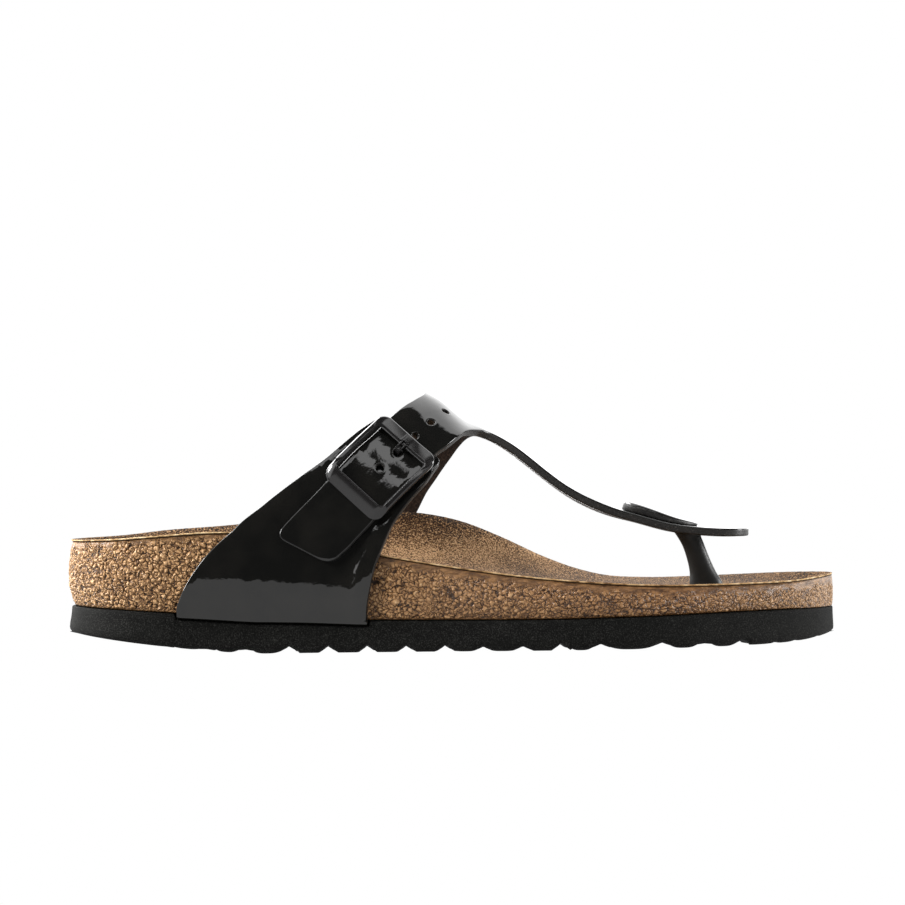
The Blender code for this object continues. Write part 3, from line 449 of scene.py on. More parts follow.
# %% [markdown]
# ## Finishes: how a material is built
#
# Each finish is a small node tree on a Principled shader. Colours are written as sRGB hex values, as a
# paint chart gives them, and one function turns them to the linear numbers that Blender wants. Patterns
# read object coordinates in metres, so a scale of 1000 divided by a size in millimetres makes cells of
# that size. One helper adds a node with its settings and links.


# %% Node and colour helpers
def linear(code):
    """An sRGB hex colour as linear red, green, blue and alpha."""
    parts = [int(code[index:index + 2], 16) / 255 for index in (1, 3, 5)]
    return tuple(p / 12.92 if p <= 0.04045 else ((p + 0.055) / 1.055) ** 2.4 for p in parts) + (1.0,)


def wire(tree, node, links):
    """Gives each named input of a node a value, or the output socket that feeds it."""
    for name, value in links.items():
        if isinstance(value, bpy.types.NodeSocket):
            tree.links.new(value, node.inputs[name])
        else:
            node.inputs[name].default_value = value


def add(tree, kind, links=None, stops=(), **settings):
    """Adds a node with its settings and links; stops are a colour ramp's positions and hex colours."""
    node = tree.nodes.new(kind)
    for name, value in settings.items():
        setattr(node, name, value)
    wire(tree, node, links or {})
    for _ in stops[2:]:
        node.color_ramp.elements.new(0.5)
    for index, (position, code) in enumerate(stops):
        node.color_ramp.elements[index].position = position
        node.color_ramp.elements[index].color = linear(code)
    return node


def per_mm(size):
    """The pattern scale that makes cells of a size in millimetres."""
    return 1 / (size * MM)


def new_finish(name, colour, roughness, **sockets):
    """A material with its shader, its tree and the object coordinates."""
    finish = bpy.data.materials.new(name)
    finish.use_nodes = True
    finish.diffuse_color = linear(colour)
    tree = finish.node_tree
    shader = tree.nodes["Principled BSDF"]
    wire(tree, shader, {"Base Color": linear(colour), "Roughness": roughness})
    wire(tree, shader, {socket.replace("_", " "): value for socket, value in sockets.items()})
    return finish, tree, shader, add(tree, "ShaderNodeTexCoord").outputs["Object"]
print("helpers ready; white is", linear("#ffffff"))

# %% [markdown]
# ## The floor, the light and the camera
#
# The real picture was taken with a long lens, level with the straps, on a white table that is lit from
# below, so that no shadow falls. A table of white paint would need a very strong light to do the same, so
# this one shines by itself. Gloss is only as good as what it mirrors: the patent straps mirror the table
# below, a dark studio in front with softboxes in it, and a white sweep behind.

# %% Camera
PHOTO_PIXELS = 905
FOCAL_PIXELS = 4620  # the lens's focal length, in pixels of the photograph
SENSOR = 36.0
CAMERA_AT = (128.3, -1538.0, 74.2)  # on the last's axes
LOOKS_DOWN, ROLL = 0.372, 1.0  # degrees

camera_data = bpy.data.cameras.new("camera")
camera_data.sensor_width = SENSOR
camera_data.lens = FOCAL_PIXELS / PHOTO_PIXELS * SENSOR
camera_data.clip_end = 50.0
camera = show("camera", camera_data)
camera.location = (Vector(CAMERA_AT) + SHIFT) * MM
camera.rotation_euler = (Matrix.Rotation(radians(90 - LOOKS_DOWN), 3, "X")
                         @ Matrix.Rotation(radians(-ROLL), 3, "Z")).to_euler()
bpy.context.scene.camera = camera
print("camera", tuple(round(v, 4) for v in camera.location), "lens", round(camera_data.lens, 1))

# %% Floor
TABLE_EDGE = -0.42  # the table's near edge, out of the camera's sight; the gloss mirrors where it ends
TABLE_REACH = 12.0
GLOW, GLOW_ON_MATTE = 1.0, 0.65  # it lights the matte sides less than the camera and the gloss see

floor_finish, tree, shader, place = new_finish("lit_white_acrylic_table", "#000000", 1.0,
                                               Specular_IOR_Level=0.0, Emission_Color=linear("#ffffff"))
on_matte = add(tree, "ShaderNodeLightPath").outputs["Is Diffuse Ray"]
glow = add(tree, "ShaderNodeMix", {"Factor": on_matte, "A": GLOW, "B": GLOW_ON_MATTE})
wire(tree, shader, {"Emission Strength": glow.outputs[0]})
floor_mesh = bpy.data.meshes.new("floor")
floor_mesh.from_pydata([(-TABLE_REACH, TABLE_EDGE, 0), (TABLE_REACH, TABLE_EDGE, 0),
                        (TABLE_REACH, TABLE_REACH, 0), (-TABLE_REACH, TABLE_REACH, 0)], [], [(0, 1, 2, 3)])
floor_mesh.materials.append(floor_finish)
floor_plane = show("floor", floor_mesh)
print("floor", TABLE_REACH * 2, "m across")

# %% World: dark in front with three softboxes, white behind with one bright panel
DARK, WHITE = 0.06, 2.6
SWEEP_SLANT, SWEEP_FROM, SWEEP_TO = -0.6, -0.10, -0.05
WORLD_ON_MATTE = 0.45  # the white behind is for the gloss; lamps light the matte sides instead
# Left and right as X of the direction, lowest and highest elevation in degrees, strength, and on which
# side of the sandal
PANELS = [
    (-0.04, 0.30, 38.5, 43.2, 3.0, "front"),
    (0.08, 0.30, 43.2, 51.0, 3.0, "front"),
    (-0.45, -0.05, 37.8, 47.5, 3.0, "front"),
    (-0.60, -0.22, 36.0, 62.0, 14.0, "behind"),
]
world = bpy.data.worlds.new("studio")
world.use_nodes = True
bpy.context.scene.world = world
tree = world.node_tree
way = add(tree, "ShaderNodeTexCoord").outputs["Generated"]
way_x, way_y, way_z = add(tree, "ShaderNodeSeparateXYZ", {"Vector": way}).outputs


def between(value, low, high, soft):
    """1 where a value lies between two limits, with soft edges."""
    rise = add(tree, "ShaderNodeMapRange", {"Value": value, "From Min": low - soft, "From Max": low + soft})
    fall = add(tree, "ShaderNodeMapRange", {"Value": value, "From Min": high - soft, "From Max": high + soft,
                                            "To Min": 1.0, "To Max": 0.0})
    both = add(tree, "ShaderNodeMath", {0: rise.outputs[0], 1: fall.outputs[0]}, operation="MULTIPLY")
    return both.outputs[0]


# The white behind ends in a slanting edge, which the arm mirrors below its crest
slanted = add(tree, "ShaderNodeMath", {0: way_x, 1: SWEEP_SLANT, 2: way_y}, operation="MULTIPLY_ADD")
lit = add(tree, "ShaderNodeMapRange", {"Value": slanted.outputs[0], "From Min": SWEEP_FROM,
                                       "From Max": SWEEP_TO, "To Min": DARK, "To Max": WHITE}).outputs[0]
for left, right, lowest, highest, power, where in PANELS:
    panel = add(tree, "ShaderNodeMath", {
        0: between(way_z, sin(radians(lowest)), sin(radians(highest)), 0.004),
        1: between(way_x, left, right, 0.01)}, operation="MULTIPLY").outputs[0]
    half = add(tree, "ShaderNodeMath", {0: way_y, 1: 0.0},
               operation="LESS_THAN" if where == "front" else "GREATER_THAN").outputs[0]
    panel = add(tree, "ShaderNodeMath", {0: panel, 1: half}, operation="MULTIPLY").outputs[0]
    lit = add(tree, "ShaderNodeMath", {0: panel, 1: power, 2: lit}, operation="MULTIPLY_ADD").outputs[0]
rays = add(tree, "ShaderNodeLightPath").outputs
lit = add(tree, "ShaderNodeMix", {"Factor": rays["Is Diffuse Ray"], "A": lit, "B": WORLD_ON_MATTE}).outputs[0]
strength = add(tree, "ShaderNodeMix", {"Factor": rays["Is Camera Ray"], "A": lit, "B": 1.0}).outputs[0]
wire(tree, tree.nodes["Background"], {"Color": linear("#ffffff"), "Strength": strength})
print("world nodes:", len(tree.nodes))


# %% Lamps
def new_light(name, kind, energy, place, aim, size, in_gloss=False):
    """A square panel with its size in metres, or a sun with its angle in degrees."""
    data = bpy.data.lights.new(name, kind)
    data.energy = energy
    if kind == "AREA":
        data.shape, data.size = "SQUARE", size
    else:
        data.angle = radians(size)
    light = show(name, data)
    light.location = place
    light.rotation_euler = (Vector(aim) - Vector(place)).to_track_quat("-Z", "Y").to_euler()
    light.visible_glossy = in_gloss
    light.visible_camera = False


new_light("overhead_panel", "SUN", 0.25, (0.1, -0.3, 2.0), (0, 0, 0), 60)
new_light("key_panel", "AREA", 14.5, (-0.95, -0.75, 0.7), (0, 0, 0.03), 0.3)
new_light("front_panel", "AREA", 2.0, (0.2, -1.9, 0.7), (0, 0, 0.03), 1.2)
new_light("heel_lamp", "AREA", 26.0, (-1.3, 0.1, 0.65), (-0.1, 0, 0.02), 0.5, in_gloss=True)
new_light("toe_lamp", "AREA", 15.0, (1.3, -0.1, 0.25), (0.1, 0, 0.02), 0.5, in_gloss=True)
bpy.context.scene.view_settings.view_transform = "Standard"
bpy.context.scene.view_settings.look = "None"

# %% [markdown]
# ## Foam outsole
#
# The outsole is moulded EVA foam: light, matte and a little speckled, because its skin shows the tiny
# cells. Its lugs are flat at the heel and under the waist, and rounded between those two and at the ball.
# A cutter for each groove would work, but a height that depends on the station makes the rounding for
# free, so the underside is a fine grid that is lifted at the grooves. A short step in its top edge takes
# the straps' margins.

# %% Foam finish
# Moulded EVA: matte black, with cells of about a third of a millimetre that catch the light as specks
foam, tree, shader, place = new_finish("moulded_eva_foam", "#141413", 0.8, Specular_IOR_Level=0.10)
cells = add(tree, "ShaderNodeTexNoise", {"Vector": place, "Scale": per_mm(0.36), "Detail": 1.0}).outputs[0]
cloud = add(tree, "ShaderNodeTexNoise", {"Vector": place, "Scale": per_mm(6), "Detail": 2.0}).outputs[0]
speck = add(tree, "ShaderNodeMath", {0: cloud, 1: 0.12, 2: cells}, operation="MULTIPLY_ADD").outputs[0]
colour = add(tree, "ShaderNodeValToRGB", {"Fac": speck},
             [(0.45, "#0a0a09"), (0.58, "#0f0f0e"), (0.78, "#2b2b29")])
bump = add(tree, "ShaderNodeBump", {"Height": cells, "Distance": 0.10 * MM, "Strength": 0.6})
wire(tree, shader, {"Base Color": colour.outputs["Color"], "Normal": bump.outputs["Normal"]})
print("finish:", foam.name)

# %% Tread
TREAD_DEPTH = 2.3
TREAD_WAVE = 1.8
LUG_ROUND = 0.9
GROOVE_SOFT = 0.10  # how much the grooves' walls belly
GROOVE_FLAT = 0.93  # the share of a wall's slope that the flat bottom leaves
FOAM_LIP = 1.0
FOAM_ROUND = 1.6
FOAM_TOE = 8  # the foam's toe stays down further than the cork's does
# Station, length along the sole, depth at the outer and the inner side, roundness of the lug behind it
GROOVES = [
    (0.035, 3.6, 0.00, 0.20, 0.0),
    (0.080, 4.4, 0.00, 0.20, 0.0),
    (0.132, 5.0, 0.03, 0.30, 0.0),
    (0.184, 5.4, 0.20, 0.60, 0.3),
    (0.2345, 5.8, 0.50, 1.00, 0.9),
    (0.289, 6.2, 0.95, 1.00, 0.6),
    (0.3395, 6.4, 1.00, 1.00, 0.0),
    (0.3895, 6.4, 1.00, 1.00, 0.0),
    (0.439, 6.4, 0.90, 1.00, 0.0),
    (0.4885, 6.4, 0.90, 1.00, 0.0),
    (0.5365, 6.0, 0.62, 0.80, 0.2),
    (0.587, 6.0, 0.62, 0.90, 0.2),
    (0.6355, 6.4, 1.00, 1.00, 0.0),
    (0.6865, 6.0, 0.80, 0.90, 0.8),
    (0.766, 5.6, 0.80, 0.90, 1.0),
    (0.8215, 5.0, 0.50, 0.50, 1.0),
    (0.872, 4.6, 0.75, 0.80, 1.0),
    (0.916, 2.6, 0.15, 0.20, 0.1),
    (0.944, 2.4, 0.15, 0.20, 0.1),
    (0.976, 2.2, 0.10, 0.20, 0.1),
]


def tread(station, share):
    """Height of the tread over the lugs; share runs from 0 at the outer side to 1 at the inner one."""
    x = station * SOLE_LENGTH
    back = 0.0
    for place_at, length, outer, inner, roundness in GROOVES:
        centre = place_at * SOLE_LENGTH
        start, end = centre - length / 2, centre + length / 2
        shoulder = LUG_ROUND * roundness
        if x < start:
            t = abs(2 * (x - back) / (start - back) - 1)
            return shoulder * t ** 3
        if x < end:
            near = 1 - abs(x - centre) / (length / 2)
            soft = near - GROOVE_SOFT * sin(pi * near) ** 2 * near
            deep = TREAD_DEPTH * (outer * (1 - share) + inner * share)
            return shoulder + (deep - shoulder) * min(soft, GROOVE_FLAT) / GROOVE_FLAT
        back = end
    return 0.0


def wave(across):
    return TREAD_WAVE * cos(2 * pi * across) * (1 - across ** 4)


print("grooves:", len(GROOVES))

# %% Outsole
MARGINS = {"out": (0.147, 0.390), "in": (0.147, 0.425)}
MARGIN_THICKNESS = 1.6  # the straps are pared thin where they go in under the cork
RECESS = MARGIN_THICKNESS + 0.25
RECESS_STEP = 0.5 / SOLE_LENGTH
FOAM_STATIONS, FOAM_ROWS_UNDER, FOAM_ROWS_OVER = 620, 24, 14
# Inset, share of the foam's height, and millimetres more
FOAM_SIDE = [
    (FOAM_ROUND, 0.0, 0.0),
    (FOAM_ROUND * 0.45, 0.0, 0.22),
    (0.12, 0.0, 0.9),
    (0.0, 0.0, FOAM_ROUND),
    (0.15, 0.35, 0.0),
    (0.5, 0.55, 0.0),
    (0.75, 0.75, 0.0),
    (FOAM_LIP * 0.9, 0.95, 0.0),
    (FOAM_LIP + 0.1, 0.99, 0.0),
    (FOAM_LIP + 0.4, 1.0, 0.0),
]


def recess(station, side):
    """How far the foam's top edge drops to take a strap's margin."""
    back, front = MARGINS[side]
    before = (station - back + 2 * RECESS_STEP) / RECESS_STEP
    behind = (front + 2 * RECESS_STEP - station) / RECESS_STEP
    return RECESS * max(0.0, min(1.0, before, behind))


def foam_ring(inset, share, more):
    def place(station, side):
        low = ground(station, FOAM_TOE) + tread(station, 0.0 if side == "out" else 1.0)
        top = joint(station) - GAP - recess(station, side)
        x, y = plan_point(station, side, inset * toe_upright(station) if share > 0.1 else inset)
        return Vector((x, y, low + (top - low) * share + more))
    return place


def foam_under(station, across, straight):
    height = ground(station, FOAM_TOE) + tread(station, (1 + across) / 2)
    return Vector((straight.x + wave(across), straight.y, height))


def foam_over(station, across, straight):
    side = "out" if across < 0 else "in"
    half = max(1.0, plan_width(station) / 2)
    hollow = recess(station, side) if (1 - abs(across)) * half < MARGIN + CORK_TUCK + 1 else 0.0
    return Vector((straight.x, straight.y, joint(station) - GAP - hollow))


sole_marks = even_stations(FOAM_STATIONS)
for back, front in MARGINS.values():
    sole_marks += [back - 2 * RECESS_STEP, back - RECESS_STEP, front + RECESS_STEP, front + 2 * RECESS_STEP]
sole_marks = sorted(set(round(station, 6) for station in sole_marks))
points, faces, _ = sole_piece(sole_marks, [foam_ring(*row) for row in FOAM_SIDE],
                              (FOAM_ROWS_UNDER, foam_under), (FOAM_ROWS_OVER, foam_over))
outsole = new_piece("foam_outsole", points, faces, [foam])
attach(outsole, "root")
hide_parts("outsole")

# %% [markdown]
# ## Cork footbed
#
# The footbed is pressed from cork granules and latex. Where its side is ground to shape, the granules lie
# open: golden chips of one to two millimetres with dark crevices between them. Near the top and bottom
# edge the latex makes a smooth skin. A bump alone would leave the outline smooth, so a Geometry Nodes tree
# pushes a fine mesh out at each chip, and the finish reads the same cell pattern for its colours: painted
# shade in the crevices and a painted highlight on the chips' tops.

# %% Cork finish
CHIP = 1.45  # width of a cork chip
CHIP_BEND = 2.6  # how far noise bends the chips' edges
CHIP_LEAN = 1.2
HALF = (0.5, 0.5, 0.5)


def chip_domes(tree, place):
    """How high each cork chip stands, from 0 in a crevice to 1, and the chip's own random tone."""
    bend = add(tree, "ShaderNodeTexNoise", {"Vector": place, "Scale": per_mm(1.6), "Detail": 1.0})
    bend = add(tree, "ShaderNodeVectorMath", {0: bend.outputs["Color"], 1: HALF}, operation="SUBTRACT")
    bend = add(tree, "ShaderNodeVectorMath", {0: bend.outputs[0], "Scale": CHIP_BEND * MM}, operation="SCALE")
    spot = add(tree, "ShaderNodeVectorMath", {0: place, 1: bend.outputs[0]}, operation="ADD").outputs[0]
    cells = {"Vector": spot, "Scale": per_mm(CHIP)}
    edges = add(tree, "ShaderNodeTexVoronoi", cells, feature="DISTANCE_TO_EDGE").outputs["Distance"]
    dome = add(tree, "ShaderNodeMapRange", {"Value": edges, "From Min": -0.12, "From Max": 0.36},
               interpolation_type="SMOOTHSTEP").outputs[0]
    # Each chip leans its own way
    chips = add(tree, "ShaderNodeTexVoronoi", cells).outputs
    off_middle = add(tree, "ShaderNodeVectorMath", {0: spot, 1: chips["Position"]}, operation="SUBTRACT")
    lean = add(tree, "ShaderNodeVectorMath", {0: chips["Color"], 1: HALF}, operation="SUBTRACT")
    lean = add(tree, "ShaderNodeVectorMath", {0: off_middle.outputs[0], 1: lean.outputs[0]},
               operation="DOT_PRODUCT").outputs["Value"]
    domed = add(tree, "ShaderNodeMath", {0: lean, 1: CHIP_LEAN / (CHIP * MM), 2: dome},
                operation="MULTIPLY_ADD").outputs[0]
    return domed, add(tree, "ShaderNodeSeparateXYZ", {"Vector": chips["Color"]}).outputs["X"]


def painted_ball_shade(tree, place):
    """White, but a pale brown at the ball of the foot: painted shade over the cork and its edge there."""
    along = add(tree, "ShaderNodeSeparateXYZ", {"Vector": place}).outputs["X"]
    along = add(tree, "ShaderNodeMapRange", {"Value": along, "From Min": -50 * MM, "From Max": 120 * MM})
    shade = add(tree, "ShaderNodeValToRGB", {"Fac": along.outputs[0]},
                [(0.0, "#ffffff"), (0.25, "#e2dcd5"), (0.75, "#dccfbe"), (1.0, "#ffffff")])
    return shade.outputs["Color"]
# Ground cork: dry, each chip its own tone of gold to brown, with painted shade that makes the crevices
# nearly black and a painted highlight on the chips' tops, and a sheen from the latex between the chips
# that shows at a low angle
cork, tree, shader, place = new_finish("ground_cork", "#b28c66", 0.42, Specular_IOR_Level=0.5)
rest_place, relief, skin = (add(tree, "ShaderNodeAttribute", attribute_name=name).outputs[output]
                            for name, output in (("place", "Vector"), ("relief", "Fac"), ("skin", "Fac")))
dome, tone = chip_domes(tree, rest_place)
fibre = add(tree, "ShaderNodeTexNoise", {"Vector": rest_place, "Scale": per_mm(0.6), "Detail": 2.0}).outputs[0]
depth = add(tree, "ShaderNodeMath", {0: fibre, 1: 0.45}, operation="MULTIPLY").outputs[0]
depth = add(tree, "ShaderNodeMath", {0: tone, 1: 0.16, 2: depth}, operation="MULTIPLY_ADD").outputs[0]
depth = add(tree, "ShaderNodeMath", {0: dome, 1: 0.50, 2: depth}, operation="MULTIPLY_ADD").outputs[0]
# The dome in this value paints shade into the crevices and a highlight on the chips' tops
chip_colour_and_shade = add(tree, "ShaderNodeValToRGB", {"Fac": depth},
                  [(0.28, "#26180d"), (0.42, "#6f4e31"), (0.60, "#aa8258"), (0.85, "#c49c70"),
                   (1.0, "#e3c398")]).outputs["Color"]
even_colour_and_shade = add(tree, "ShaderNodeValToRGB", {"Fac": depth},
                  [(0.3, "#4a321d"), (0.55, "#7d5c3a"), (0.9, "#a57f58")]).outputs["Color"]
body = add(tree, "ShaderNodeMix", {"Factor": relief, 6: even_colour_and_shade, 7: chip_colour_and_shade}, data_type="RGBA")
streak = add(tree, "ShaderNodeMapping", {"Vector": place, "Scale": (0.25, 0.25, 1.0)})
streak = add(tree, "ShaderNodeTexNoise", {"Vector": streak.outputs[0], "Scale": per_mm(0.9), "Detail": 3.0})
latex = add(tree, "ShaderNodeValToRGB", {"Fac": streak.outputs["Fac"]},
            [(0.35, "#4c3420"), (0.5, "#79593a"), (0.65, "#a27c54")]).outputs["Color"]
body = add(tree, "ShaderNodeMix", {"Factor": skin, 6: body.outputs[2], 7: latex}, data_type="RGBA")
# Painted shade: the cork is darker towards the ball of the foot
body = add(tree, "ShaderNodeMix", {"Factor": 1.0, 6: body.outputs[2], 7: painted_ball_shade(tree, place)},
           data_type="RGBA", blend_type="MULTIPLY")
grain = add(tree, "ShaderNodeMath", {0: fibre, 1: 0.6, 2: dome}, operation="MULTIPLY_ADD").outputs[0]
grain = add(tree, "ShaderNodeMath", {0: grain, 1: relief}, operation="MULTIPLY").outputs[0]
bump = add(tree, "ShaderNodeBump", {"Height": grain, "Distance": 0.5 * MM, "Strength": 1.0})
wire(tree, shader, {"Base Color": body.outputs[2], "Normal": bump.outputs["Normal"]})
print("finish:", cork.name)

# %% Cork body
CORK_LEVELS, CORK_STATIONS, CORK_ROWS_UNDER, CORK_ROWS_OVER = 54, 720, 2, 10
CORK_BEVEL = 0.25
CORK_UNDER = LINER_THICKNESS + GAP  # how far the cork lies under the liner's top
LINER_SHOWS = 0.72  # how much of the liner's edge shows over the cork
SKIN_HEIGHT, SKIN_MORE_IN_FRONT = 2.4, 1.2  # the smooth latex below the rim
LOW_SKIN, LOW_SKIN_SOFT = 0.035, 0.03  # and above the foam, as shares of the side's height
FRONT_FROM, FRONT_RUN = 0.36, 0.16  # the stations over which the side gets smoother towards the toe


def cork_ring(share):
    def place(station, side):
        low, high = joint(station), rim(station, side)
        inset = side_inset(share) + CORK_BEVEL * max(0.0, share - 0.95) / 0.05
        x, y = plan_point(station, side, inset * toe_upright(station))
        return Vector((x, y, low + (high - LINER_SHOWS - low) * share))
    return place


def store(piece, name, kind, key, values):
    """Keeps values on a piece's points under a name that its finish reads."""
    attribute = piece.data.attributes.new(name, kind, "POINT")
    attribute.data.foreach_set(key, np.asarray(values, dtype=np.float32).ravel())


levels = [index / CORK_LEVELS for index in range(CORK_LEVELS + 1)]
points, faces, _ = sole_piece(
    even_stations(CORK_STATIONS), [cork_ring(level) for level in levels],
    (CORK_ROWS_UNDER, lay_at(lambda station, across: joint(station))),
    (CORK_ROWS_OVER, lay_at(lambda station, across: dish(station, across) - CORK_UNDER)))
footbed = new_piece("cork_footbed", points, faces, [cork])
ring_size = 2 * CORK_STATIONS
on_side = ring_size * len(levels)
shares = np.ones(len(points))
shares[:on_side] = np.repeat(levels, ring_size)
stations, heights = (np.array([point[axis] for point in points]) for axis in (0, 2))
stations /= SOLE_LENGTH
marks = np.linspace(0, 1, 400)
below_rim = np.interp(stations, marks, [rim(station, "out") for station in marks]) - heights
front = np.clip((stations - FRONT_FROM) / FRONT_RUN, 0, 1)
ragged = 0.6 * np.sin(stations * 140) + 0.5 * np.sin(stations * 333 + 1)
top_skin = np.clip(SKIN_HEIGHT + SKIN_MORE_IN_FRONT * front + ragged - below_rim, 0, 1)
low_skin = np.clip((LOW_SKIN - shares) / LOW_SKIN_SOFT, 0, 1)
skin_values = np.maximum(top_skin * 0.8, low_skin * 0.6)
relief_values = np.clip(1 - top_skin * 0.85 - low_skin, 0, 1) * (1 - 0.45 * front)
skin_values[on_side:] = 1.0
relief_values[on_side:] = 0.0
store(footbed, "skin", "FLOAT", "value", skin_values)
store(footbed, "relief", "FLOAT", "value", relief_values)
rest_places = np.zeros(len(points) * 3, dtype=np.float32)
footbed.data.vertices.foreach_get("co", rest_places)
store(footbed, "place", "FLOAT_VECTOR", "vector", rest_places)
print("cork grid:", ring_size, "by", len(levels))

# %% Chips stand out of the side
CHIP_DEPTH = 0.55


def apply_tree(piece, group, values):
    """Runs a Geometry Nodes tree on a piece and keeps the result as its plain mesh."""
    modifier = piece.modifiers.new(group.name, "NODES")
    modifier.node_group = group
    for identifier, value in values.items():
        modifier[identifier] = value
    graph = bpy.context.evaluated_depsgraph_get()
    mesh = bpy.data.meshes.new_from_object(piece.evaluated_get(graph), depsgraph=graph)
    piece.modifiers.remove(modifier)
    old = piece.data
    piece.data = mesh
    bpy.data.meshes.remove(old)
    mesh.name = piece.name


chips = bpy.data.node_groups.new("cork_chips", "GeometryNodeTree")
new_socket = chips.interface.new_socket
new_socket(name="Geometry", in_out="INPUT", socket_type="NodeSocketGeometry")
depth_input = new_socket(name="Chip Depth", in_out="INPUT", socket_type="NodeSocketFloat").identifier
new_socket(name="Geometry", in_out="OUTPUT", socket_type="NodeSocketGeometry")
given = chips.nodes.new("NodeGroupInput").outputs
dome, tone = chip_domes(chips, add(chips, "GeometryNodeInputPosition").outputs[0])
height = add(chips, "ShaderNodeMath", {0: tone, 1: 0.3, 2: dome}, operation="MULTIPLY_ADD").outputs[0]
height = add(chips, "ShaderNodeMath", {0: height, 1: 0.95}, operation="SUBTRACT").outputs[0]
open_side = add(chips, "GeometryNodeInputNamedAttribute", {"Name": "relief"}, data_type="FLOAT").outputs[0]
height = add(chips, "ShaderNodeMath", {0: height, 1: open_side}, operation="MULTIPLY").outputs[0]
height = add(chips, "ShaderNodeMath", {0: height, 1: given["Chip Depth"]}, operation="MULTIPLY").outputs[0]
outward = add(chips, "GeometryNodeInputNormal").outputs[0]
push = add(chips, "ShaderNodeVectorMath", {0: outward, "Scale": height}, operation="SCALE").outputs[0]
moved = add(chips, "GeometryNodeSetPosition", {"Geometry": given["Geometry"], "Offset": push}).outputs[0]
plain = add(chips, "GeometryNodeRealizeInstances", {"Geometry": moved}).outputs[0]
dressed = add(chips, "GeometryNodeSetMaterial", {"Geometry": plain, "Material": cork}).outputs[0]
chips.links.new(dressed, chips.nodes.new("NodeGroupOutput").inputs[0])
apply_tree(footbed, chips, {depth_input: CHIP_DEPTH * MM})
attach(footbed, "root")
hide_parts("footbed")
print("cork:", len(footbed.data.polygons), "faces")

# %% [markdown]
# ## Suede liner
#
# A sheet of suede is glued over the cork and trimmed at the rim, where its cut edge shows as a pale line
# over a thin dark gap. The nap is short and mottled, so the sheet needs no loops or hairs: a fine noise in
# colour and bump, with a little sheen for the raised fibres, looks right at this distance.

# %% Suede finish
# Brown suede split: matte, with fibre specks of about half a millimetre and cloudy worn tones, and painted
# shade that makes it darker on the steep arch under the strap and low down in front than between them
suede, tree, shader, place = new_finish("brown_suede", "#7a5a36", 0.9, Specular_IOR_Level=0.25,
                                        Sheen_Weight=0.04, Sheen_Roughness=0.5)
nap = add(tree, "ShaderNodeTexNoise", {"Vector": place, "Scale": per_mm(0.5), "Detail": 1.0, "Roughness": 0.6})
cloud = add(tree, "ShaderNodeTexNoise", {"Vector": place, "Scale": per_mm(16), "Detail": 2.0}).outputs[0]
fibres = add(tree, "ShaderNodeMath", {0: nap.outputs["Fac"], 1: 1.6, 2: -0.30}, operation="MULTIPLY_ADD")
worn_and_shaded = add(tree, "ShaderNodeMath", {0: cloud, 1: 0.30, 2: fibres.outputs[0]},
           operation="MULTIPLY_ADD").outputs[0]
height = add(tree, "ShaderNodeSeparateXYZ", {"Vector": place}).outputs["Z"]
# Painted shade: darker high on the steep arch, under the strap, and low down in front
# Lowest and highest place in millimetres, and what is added at each
for lowest, highest, at_lowest, at_highest in ((31, 44, 0.08, -0.27), (19, 29, -0.19, 0.0)):
    height_shade = add(tree, "ShaderNodeMapRange", {"Value": height, "From Min": lowest * MM, "From Max": highest * MM,
                                            "To Min": at_lowest, "To Max": at_highest}).outputs[0]
    worn_and_shaded = add(tree, "ShaderNodeMath", {0: worn_and_shaded, 1: height_shade}, operation="ADD").outputs[0]
colour = add(tree, "ShaderNodeValToRGB", {"Fac": worn_and_shaded},
             [(0.40, "#1f140a"), (0.56, "#573d25"), (0.70, "#806040"), (0.86, "#b4916b")])
bump = add(tree, "ShaderNodeBump", {"Height": nap.outputs["Fac"], "Distance": 0.40 * MM, "Strength": 1.0})
wire(tree, shader, {"Base Color": colour.outputs["Color"], "Normal": bump.outputs["Normal"]})
# Its cut edge is raw and pale, painted paler still as a highlight where it catches the light; under it a
# dark line is painted shade in the gap over the cork
suede_edge, tree, shader, place = new_finish("cut_suede_edge", "#bf9f72", 0.8, Specular_IOR_Level=0.3)
frayed = add(tree, "ShaderNodeTexNoise", {"Vector": place, "Scale": per_mm(2.5), "Detail": 2.0})
frayed = add(tree, "ShaderNodeValToRGB", {"Fac": frayed.outputs["Fac"]},
             [(0.3, "#6d5132"), (0.5, "#b8976a"), (0.68, "#e2caa2")])
# Painted shade: the cut edge is darker towards the ball of the foot
frayed = add(tree, "ShaderNodeMix", {"Factor": 1.0, 6: frayed.outputs["Color"], 7: painted_ball_shade(tree, place)},
             data_type="RGBA", blend_type="MULTIPLY")
wire(tree, shader, {"Base Color": frayed.outputs[2]})
# Painted shade: a dark finish for the gap under the liner's lip
gap_shade = new_finish("painted_gap_shade", "#2a1c11", 0.8, Specular_IOR_Level=0.2)[0]
print("finishes:", suede.name, suede_edge.name, gap_shade.name)

# %% Liner sheet
LINER_STATIONS, LINER_ROWS_UNDER, LINER_ROWS_OVER = 360, 6, 44
EDGE_INSET = RIM_TUCK - LINER_LIP
# Inset, and how far below the rim; the first two bands are painted shade in the gap, the next three the cut
# edge
LINER_SIDE = [
    (RIM_TUCK + 0.9, LINER_THICKNESS + 0.4),
    (RIM_TUCK + 0.5, 1.10),
    (EDGE_INSET + 0.2, 0.48),
    (EDGE_INSET, 0.36),
    (EDGE_INSET, 0.12),
    (EDGE_INSET + 0.15, 0.01),
    (EDGE_INSET + 0.6, 0.0),
]


def liner_ring(inset, drop):
    def place(station, side):
        x, y = plan_point(station, side, inset * toe_upright(station))
        ragged = 0.03 * sin(station * 611) * sin(station * 173 + SIDE[side])
        return Vector((x, y, rim(station, side) - drop + ragged))
    return place


